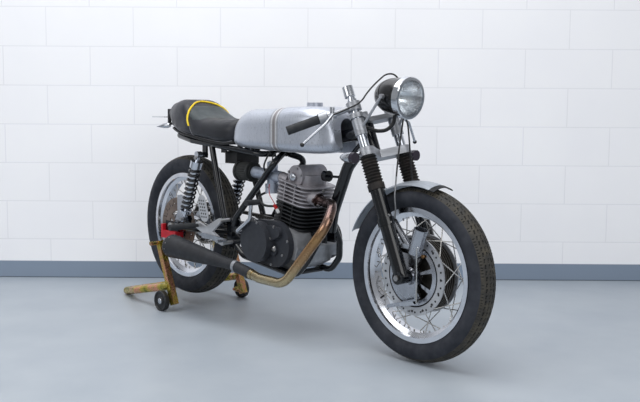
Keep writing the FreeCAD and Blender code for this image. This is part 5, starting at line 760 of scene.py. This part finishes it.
def build_engine():
    dress("kick_lever", ALLOY, GRIP, rule=lambda middle: middle.z > 0.522)
    covers = skin_of("engine_covers")
    spots = ((706, 452), (785, 441), (762, 392), (846, 388), (815, 330), (747, 286), (655, 282), (608, 322),
             (590, 384), (628, 440))
    cap_screws("cover_screws", on_right(covers, spots), 0.0052, 0.0042, SCREW, "machine")
    for hit, way in on_right(covers, [(772, 353)]):
        turned("cover_cap", [(0, 0.007), (0.006, 0.007), (0.0075, 0.0055), (0.0085, 0.001), (0.012, 0.0005),
                             (0.012, -0.002)], hit, way, SCREW, "machine", steps=40)
    turned("head_cap", [(0, 0.0045), (0.010, 0.0045), (0.0125, 0.003), (0.0155, 0.0025), (0.0165, -0.003)],
           at(797, -78, 634), RIGHT, ALLOY, "machine", steps=48)
    spots = ((841, 643), (817, 669), (768, 655), (762, 606), (836, 604))
    cap_screws("head_bolts", on_right(skin_of("cylinder_head"), spots), 0.0048, 0.005, SCREW, "machine",
               hexagon=True)
    ahead = Vector((1, 0, 0))
    cap_screws("exhaust_nuts", [(at(921, -54, 533), ahead), (at(925, -30, 586), ahead)], 0.0066, 0.007, SCREW,
               "machine", hexagon=True)
    carb = skin_of("carburettor")
    spots = ((610, 655), (648, 655), (612, 585), (646, 585))
    cap_screws("carburettor_screws", on_right(carb, spots), 0.0032, 0.003, SCREW, "machine")
    cap = [(0, 0.008), (0.012, 0.0075), (0.0165, 0.005), (0.0175, 0.0005), (0.0175, -0.003)]
    turned("carburettor_cap", cap, at(640, -48, 684), Vector((0, 0, 1)), WHITE, "machine", steps=40)
    fins = skin_of("cylinder")
    tank_end = skin_of("fuel_tank").find_nearest(at(720, -60, 722))[0]
    lead("throttle_cable", [at(640, -48, 690), at(642, -50, 712), at(668, -56, 728), tank_end],
         0.0028, CABLE, "machine")
    lead("fuel_hose", [at(628, -70, 640), at(622, -84, 660), at(640, -84, 700), at(660, -70, 738)],
         0.0036, CABLE, "machine")
    lead("breather_hose", [carb.find_nearest(at(600, -60, 560))[0], at(596, -92, 548), at(626, -100, 520),
                           at(668, -98, 508), fins.find_nearest(at(700, -94, 512))[0]],
         0.0048, CABLE, "machine")
    hit = fins.ray_cast(at(716, -300, 512), LEFT)[0] or at(716, -93, 512)
    plug = hit + RIGHT * 0.006
    wire_start = carb.find_nearest(at(660, -92, 600))[0]
    lead("sensor_wire", [wire_start, at(672, -96, 560), at(704, -99, 536), plug + Vector((0, 0, 0.006))],
         0.0016, WIRE_RED, "machine")
    strap("sensor_plug_red", plug + Vector((-0.004, 0, 0.004)), plug + Vector((0.006, 0, -0.006)),
          0.011, 0.009, RIGHT, WIRE_RED, "machine")
    strap("sensor_plug_white", plug + Vector((0.012, 0, -0.012)), plug + Vector((0.019, 0, -0.021)),
          0.010, 0.009, RIGHT, WHITE, "machine")
    can = nodes["muffler"].data
    spots = np.array([vertex.co[:] for vertex in can.vertices])
    low, high = spots[:, 0].min(), spots[:, 0].max()
    rear = Vector(spots[spots[:, 0] < low + 0.03].mean(0))
    front = Vector(spots[spots[:, 0] > high - 0.02].mean(0))
    along = (front - rear).normalized()
    reach = (front - rear).length
    girdle("muffler_band", "muffler", rear + along * reach * 0.83, along, 0.008, 0.0016, BILLET, "machine")
    can_skin = skin_of("muffler")
    rivets = []
    for out in round_about(along, RIVETS):
        hit = can_skin.ray_cast(rear + along * 0.030 + out * 0.2, -out)[0]
        if hit:
            rivets.append((hit, out))
    cap_screws("muffler_rivets", rivets, 0.0028, 0.0016, SCREW, "machine")


def build_frame():
    dress("tail_indicators", ALLOY, BLACK, rule=lambda middle: abs(middle.y) < 0.012)
    springs = []
    for side, label, facing in ((-1, "right", RIGHT), (1, "left", LEFT)):
        nuts = [(at(240, side * 144, 690), facing), (at(126, side * 144, 412), facing)]
        cap_screws("shock_nuts_" + label, nuts, 0.0085, 0.008, SCREW, "machine", hexagon=True)
        screws = [(at(300, side * 128, 400), facing), (at(380, side * 128, 420), facing)]
        cap_screws("rearset_screws_" + label, screws, 0.005, 0.004, SCREW, "machine")
        turned("stand_hub_" + label, [(0, 0.003), (0.008, 0.003), (0.0125, 0.001), (0.014, -0.001)],
               at(84, side * 238, 46), facing, ALLOY, "stand_wheel_" + label, steps=32)
        foot, top = at(126, side * 132, 412), at(240, side * 132, 704)
        way = (top - foot).normalized()
        first, second = sides_of(way)
        start, end = (top - foot).length * 0.14 + 0.0045, (top - foot).length * 0.80 - 0.0045
        coil = []
        for step in range(COIL_STEPS + 1):
            angle = 2 * math.pi * COIL_TURNS * step / COIL_STEPS
            out = first * math.cos(angle) + second * math.sin(angle)
            coil.append(foot + way * (start + (end - start) * step / COIL_STEPS) + out * COIL_RADIUS)
        springs.append(bead("shock_coil_" + label, coil, 0.0042, FRAME, "machine"))
    for spring in springs:
        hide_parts("shock_springs")
    strap("heel_plate_right", at(282, -132, 440), at(262, -132, 500), 0.058, 0.003, RIGHT, REARSET,
          "machine")
    # Flat dark discs stand for the heel plate's holes: painted shade
    holes = [(at(280 - (step // 3) * 4 + (step % 3 - 1) * 15, -133.6, 434 + (step // 3) * 14), RIGHT)
             for step in range(18)]
    cap_screws("heel_plate_hole_shade", holes, 0.0042, 0.0003, BLACK, "machine")
    disc = REAR + Vector((0, -0.0782, 0))
    # Flat dark discs stand for the disc's holes: painted shade
    cap_screws("rear_disc_hole_shade", ring_of(disc, 0.116, 20, RIGHT) + ring_of(disc, 0.100, 20, RIGHT, 0.157),
               0.0034, 0.0004, BLACK, "rear_wheel")
    cap_screws("rear_disc_bolts", ring_of(disc, 0.048, 6, RIGHT), 0.005, 0.004, SCREW, "rear_wheel",
               hexagon=True)


# Chain

CHAIN_PITCH = 0.015875


def chain_line():
    """Pin places on the loop round both sprockets, in the plane of the wheels."""
    rear, front = Vector((REAR.x, REAR.z)), Vector((REAR_AXLE_X + 0.548, 0.388))
    reach = (front - rear).length
    u = (front - rear) / reach
    v = Vector((-u.y, u.x))
    big, small = 0.092, 0.038
    turn = math.acos((big - small) / reach)
    line = []
    for centre, radius, start, end in ((rear, big, turn, 2 * math.pi - turn), (front, small, -turn, turn)):
        for step in range(61):
            angle = start + (end - start) * step / 60
            line.append(centre + (u * math.cos(angle) + v * math.sin(angle)) * radius)
    line.append(line[0])
    lengths = [0.0]
    for before, after in zip(line, line[1:]):
        lengths.append(lengths[-1] + (after - before).length)
    count = 2 * round(lengths[-1] / CHAIN_PITCH / 2)
    steps = np.arange(count) * lengths[-1] / count
    return np.interp(steps, lengths, [p.x for p in line]), np.interp(steps, lengths, [p.y for p in line])


def build_chain():
    """Side plates and pin ends on both faces of the chain's run."""
    xs, zs = chain_line()
    points, faces, pins = [], [], []
    for number in range(len(xs)):
        start = Vector((xs[number], 0, zs[number]))
        end = Vector((xs[(number + 1) % len(xs)], 0, zs[(number + 1) % len(xs)]))
        along = (end - start).normalized()
        across = along.cross(LEFT)
        lift = 0.0016 if number % 2 else 0.0008
        outline = rounded(start, end, along, across, 0.0058, 4)
        count = len(outline)
        for plane, way in ((0.070, -1), (0.086, 1)):
            first = len(points)
            for height in (-0.0002, lift):
                points += [place + LEFT * (plane + way * height) for place in outline]
            faces.append(tuple(range(first + count, first + 2 * count)))
            faces += bands(first, count, 1)
            pins.append((start + LEFT * (plane + way * 0.0006), LEFT * way))
    new_piece("chain_plates", points, faces, CHAIN, "machine", smooth=False)
    cap_screws("chain_pins", pins, 0.0022, 0.0016, SCREW, "machine")


# Seat

PIPING_LINE = ((152, 121, 828), (142, 120, 848), (138, 118, 866), (131, 104, 893), (118, 76, 916),
               (95, 38, 931), (85, 0, 936))
SEAM_LINE = ((152, 121, 828), (161, 121, 809), (170, 118, 793), (176, 115, 778))
WELT_LINE = ((-9, 92, 834), (61, 101, 803), (142, 104, 787), (238, 106, 773), (332, 108, 765),
             (373, 107, 762), (440, 104, 760))


def build_seat():
    """The node remeshed fine and eased, pulled in along its seams and puffed between them."""
    piece = placed("seat_cover", nodes["seat"].data.copy())
    remesh = piece.modifiers.new("remesh", "REMESH")
    remesh.mode = "VOXEL"
    remesh.voxel_size = 0.004
    ease = piece.modifiers.new("ease", "SMOOTH")
    ease.factor = 0.5
    ease.iterations = 5
    bpy.context.view_layer.update()
    mesh = bpy.data.meshes.new_from_object(piece.evaluated_get(bpy.context.evaluated_depsgraph_get()))
    piece.modifiers.clear()
    piece.data = mesh
    count = len(mesh.vertices)
    spots = np.empty(count * 3)
    mesh.vertices.foreach_get("co", spots)
    spots = spots.reshape(-1, 3)
    ways = np.array([vertex.normal[:] for vertex in mesh.vertices])
    heights = [0.760, 0.778, 0.793, 0.809, 0.828, 0.848, 0.866, 0.893, 0.916, 0.931, 0.936, 0.950]
    places = [REAR_AXLE_X + x * MM for x in (181, 176, 170, 161, 152, 142, 138, 131, 118, 95, 85, 60)]
    border = np.interp(spots[:, 2], heights, places)
    gap = spots[:, 0] - border
    flank = np.abs(spots[:, 1]) > 0.085
    groove = np.exp(-(gap / 0.004) ** 2) * ((spots[:, 2] > 0.84) | flank)
    low_edge = np.interp(spots[:, 0], [REAR_AXLE_X + line[0] * MM for line in WELT_LINE],
                         [line[2] * MM for line in WELT_LINE])
    welt = np.exp(-((spots[:, 2] - low_edge) / 0.004) ** 2) * flank
    puff = np.clip(np.abs(gap) / 0.03, 0, 1) * np.clip((spots[:, 2] - low_edge) / 0.02, 0, 1)
    clear_front = np.clip((REAR_AXLE_X + 0.452 - spots[:, 0]) / 0.03, 0, 1)
    move = (puff * 0.0022 * clear_front - groove * 0.0022 - welt * 0.0016) * (ways[:, 2] > -0.5)
    spots = spots + ways * move[:, None]
    mesh.vertices.foreach_set("co", spots.reshape(-1))
    mesh.update()
    give(mesh, (VINYL, TAIL_VINYL, SHEEN_FACE_VINYL))
    for face in mesh.polygons:
        middle = face.center
        line = float(np.interp(middle.z, heights, places))
        if middle.x < line:
            face.material_index = 1
        # High on the hump, faces turned forward take the lighter vinyl: painted sheen
        elif middle.x < REAR_AXLE_X + 0.225 and middle.z > 0.855 and face.normal.x > 0.2:
            face.material_index = 2
        else:
            face.material_index = 0
    mesh.shade_smooth()
    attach(piece, "machine")
    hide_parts("seat")
    slotted(piece)
    skin = skin_of_mesh(mesh)

    def laid(line, lift):
        places = []
        for place in smooth_line([at(*point) for point in line], 10):
            spot, way = skin.find_nearest(place)[:2]
            places.append(spot + way * lift)
        return places

    half = [(x, -y, z) for x, y, z in PIPING_LINE]
    whole = half + [(x, y, z) for x, y, z in reversed(PIPING_LINE[:-1])]
    bead("seat_piping", laid(whole, 0.0022), 0.0046, PIPING, "machine")
    for side, label in ((-1, "right"), (1, "left")):
        for name, line, lift, radius in (("seat_seam_", SEAM_LINE, 0.0004, 0.0014),
                                         ("seat_welt_", WELT_LINE, 0.0006, 0.0019)):
            bead(name + label, laid([(x, side * y, z) for x, y, z in line], lift), radius, WELT, "machine")


# Stage, light and camera

CAMERA_AT = Vector((2.82213, -2.45511, 0.89367))
CAMERA_AZIMUTH = 0.818624
CAMERA_PITCH = 0.097885
CAMERA_ROLL = 0.00637
FOCAL_SHARE = 910.583 / 640
SENSOR_WIDTH = 36
WALL_DISTANCE = 4.82
FLOOR_HALF = 7
WALL_HEIGHT = 5
MORTAR_STRENGTH = 0.34
WALL_GLOW = 0.15
WORLD_STRENGTH = 0.32


def build_stage():
    look = Vector((-math.sin(CAMERA_AZIMUTH) * math.cos(CAMERA_PITCH),
                   math.cos(CAMERA_AZIMUTH) * math.cos(CAMERA_PITCH), -math.sin(CAMERA_PITCH)))
    level = Vector((math.cos(CAMERA_AZIMUTH), math.sin(CAMERA_AZIMUTH), 0))
    upright = level.cross(look)
    right = level * math.cos(CAMERA_ROLL) + upright * math.sin(CAMERA_ROLL)
    up = upright * math.cos(CAMERA_ROLL) - level * math.sin(CAMERA_ROLL)
    camera = placed("camera", bpy.data.cameras.new("camera"))
    camera.data.sensor_width = SENSOR_WIDTH
    camera.data.lens = SENSOR_WIDTH * FOCAL_SHARE
    camera.data.clip_end = 100
    camera.matrix_world = Matrix((
        (right.x, up.x, -look.x, CAMERA_AT.x), (right.y, up.y, -look.y, CAMERA_AT.y),
        (right.z, up.z, -look.z, CAMERA_AT.z), (0, 0, 0, 1)))
    bpy.context.scene.camera = camera

    ground = Surface("studio floor", rgb(170, 178, 187), roughness=0.42, specular=0.4)
    ground.ramp(ground.noise(3), [(0.3, rgb(165, 174, 184)), (0.7, rgb(176, 184, 192))])
    ground.uneven(0.36, 0.5, 2)
    half = FLOOR_HALF
    floor = new_piece("floor", [(-half, -half, 0), (half, -half, 0), (half, half, 0), (-half, half, 0)],
                      [(0, 1, 2, 3)], ground.material, None, smooth=False)
    paint = Surface("studio wall", rgb(232, 233, 238), roughness=0.85)
    drift = paint.ramp(paint.noise(2), [(0.35, rgb(230, 231, 236)), (0.65, rgb(234, 235, 239))], socket=None)
    rise = paint.axis("Y")
    shifted = paint.add("ShaderNodeMapping", Location=(0.069, -0.2085, 0))
    paint.join(paint.place.outputs["Object"], shifted.inputs["Vector"])
    blocks = paint.add("ShaderNodeTexBrick", offset=0.5, offset_frequency=2, squash=1.0, **{
        "Scale": 1.0, "Mortar Size": 0.0035, "Mortar Smooth": 0.6, "Brick Width": 0.456, "Row Height": 0.2035,
        "Color1": (0, 0, 0, 1), "Color2": (0, 0, 0, 1), "Mortar": (1, 1, 1, 1)})
    paint.join(shifted.outputs["Vector"], blocks.inputs["Vector"])
    mortar = paint.sum_of("MULTIPLY", blocks.outputs["Fac"], MORTAR_STRENGTH)
    walls = paint.blend(mortar, drift, rgb(186, 188, 194), socket=None)
    skirt = paint.between(rise, 0.092, 0.088)
    banded = paint.blend(skirt, walls, rgb(138, 152, 170), socket=None)
    # A dark line along the wall's foot: painted shadow where the wall meets the floor
    foot_shadow = paint.between(rise, 0.006, 0.003)
    paint.blend(foot_shadow, banded, rgb(92, 102, 112))
    # The glow lifts the wall to the photograph's white for the eye, metal and glass, and lights nothing
    rays = paint.add("ShaderNodeLightPath")
    eye = paint.sum_of("MAXIMUM", rays.outputs["Is Camera Ray"], rays.outputs["Is Glossy Ray"])
    seen_by = paint.sum_of("MAXIMUM", eye, rays.outputs["Is Transmission Ray"])
    glow = paint.blend(skirt, (1, 1, 1, 1), (0, 0, 0, 1), socket=None)
    lit = paint.blend(seen_by, (0, 0, 0, 1), glow, socket=None)
    paint.join(lit, paint.shader.inputs["Emission Color"])
    paint.shader.inputs["Emission Strength"].default_value = WALL_GLOW
    seen = paint.add("ShaderNodeNewGeometry")
    clear = paint.add("ShaderNodeBsdfTransparent")
    choice = paint.add("ShaderNodeMixShader")
    output = paint.tree.nodes["Material Output"]
    paint.join(seen.outputs["Backfacing"], choice.inputs[0])
    paint.join(paint.shader.outputs[0], choice.inputs[1])
    paint.join(clear.outputs[0], choice.inputs[2])
    paint.join(choice.outputs[0], output.inputs["Surface"])
    away = Vector((look.x, look.y, 0)).normalized()
    foot = Vector((CAMERA_AT.x, CAMERA_AT.y, 0)) + away * WALL_DISTANCE
    wall = new_piece("wall", [(-half, 0, 0), (half, 0, 0), (half, WALL_HEIGHT, 0), (-half, WALL_HEIGHT, 0)],
                     [(0, 1, 2, 3)], paint.material, None, smooth=False)
    wall.matrix_world = Matrix(((level.x, 0, -away.x, foot.x), (level.y, 0, -away.y, foot.y),
                                (0, 1, 0, 0), (0, 0, 0, 1)))

    world = bpy.data.worlds.new("studio")
    bpy.context.scene.world = world
    world.use_nodes = True
    sky = world.node_tree.nodes["Background"]
    sky.inputs["Color"].default_value = (0.93, 0.96, 1.0, 1)
    sky.inputs["Strength"].default_value = WORLD_STRENGTH
    lamps = (
        ("top", (0.2, -0.6, 3.4), (0, 0, 0.3), 3.6, 2.4, 84),
        ("front", (3.6, -0.9, 1.9), (0.3, 0, 0.5), 2.2, 2.0, 32),
        ("side", (-0.4, -3.8, 2.2), (0, 0, 0.5), 3.0, 1.2, 34),
        ("back", (-2.4, 1.4, 2.6), (0, 0, 0.6), 2.0, 1.6, 16),
    )
    for name, place, aim, width, depth, power in lamps:
        light = bpy.data.lights.new(name, "AREA")
        light.shape = "RECTANGLE"
        light.size = width
        light.size_y = depth
        light.energy = power
        lamp = placed(name, light)
        lamp.location = place
        lamp.rotation_euler = (Vector(aim) - Vector(place)).to_track_quat("-Z", "Y").to_euler()
    bpy.context.scene.view_settings.view_transform = "Standard"


build_wheels()
build_front()
build_engine()
build_frame()
build_chain()
build_seat()
build_stage()
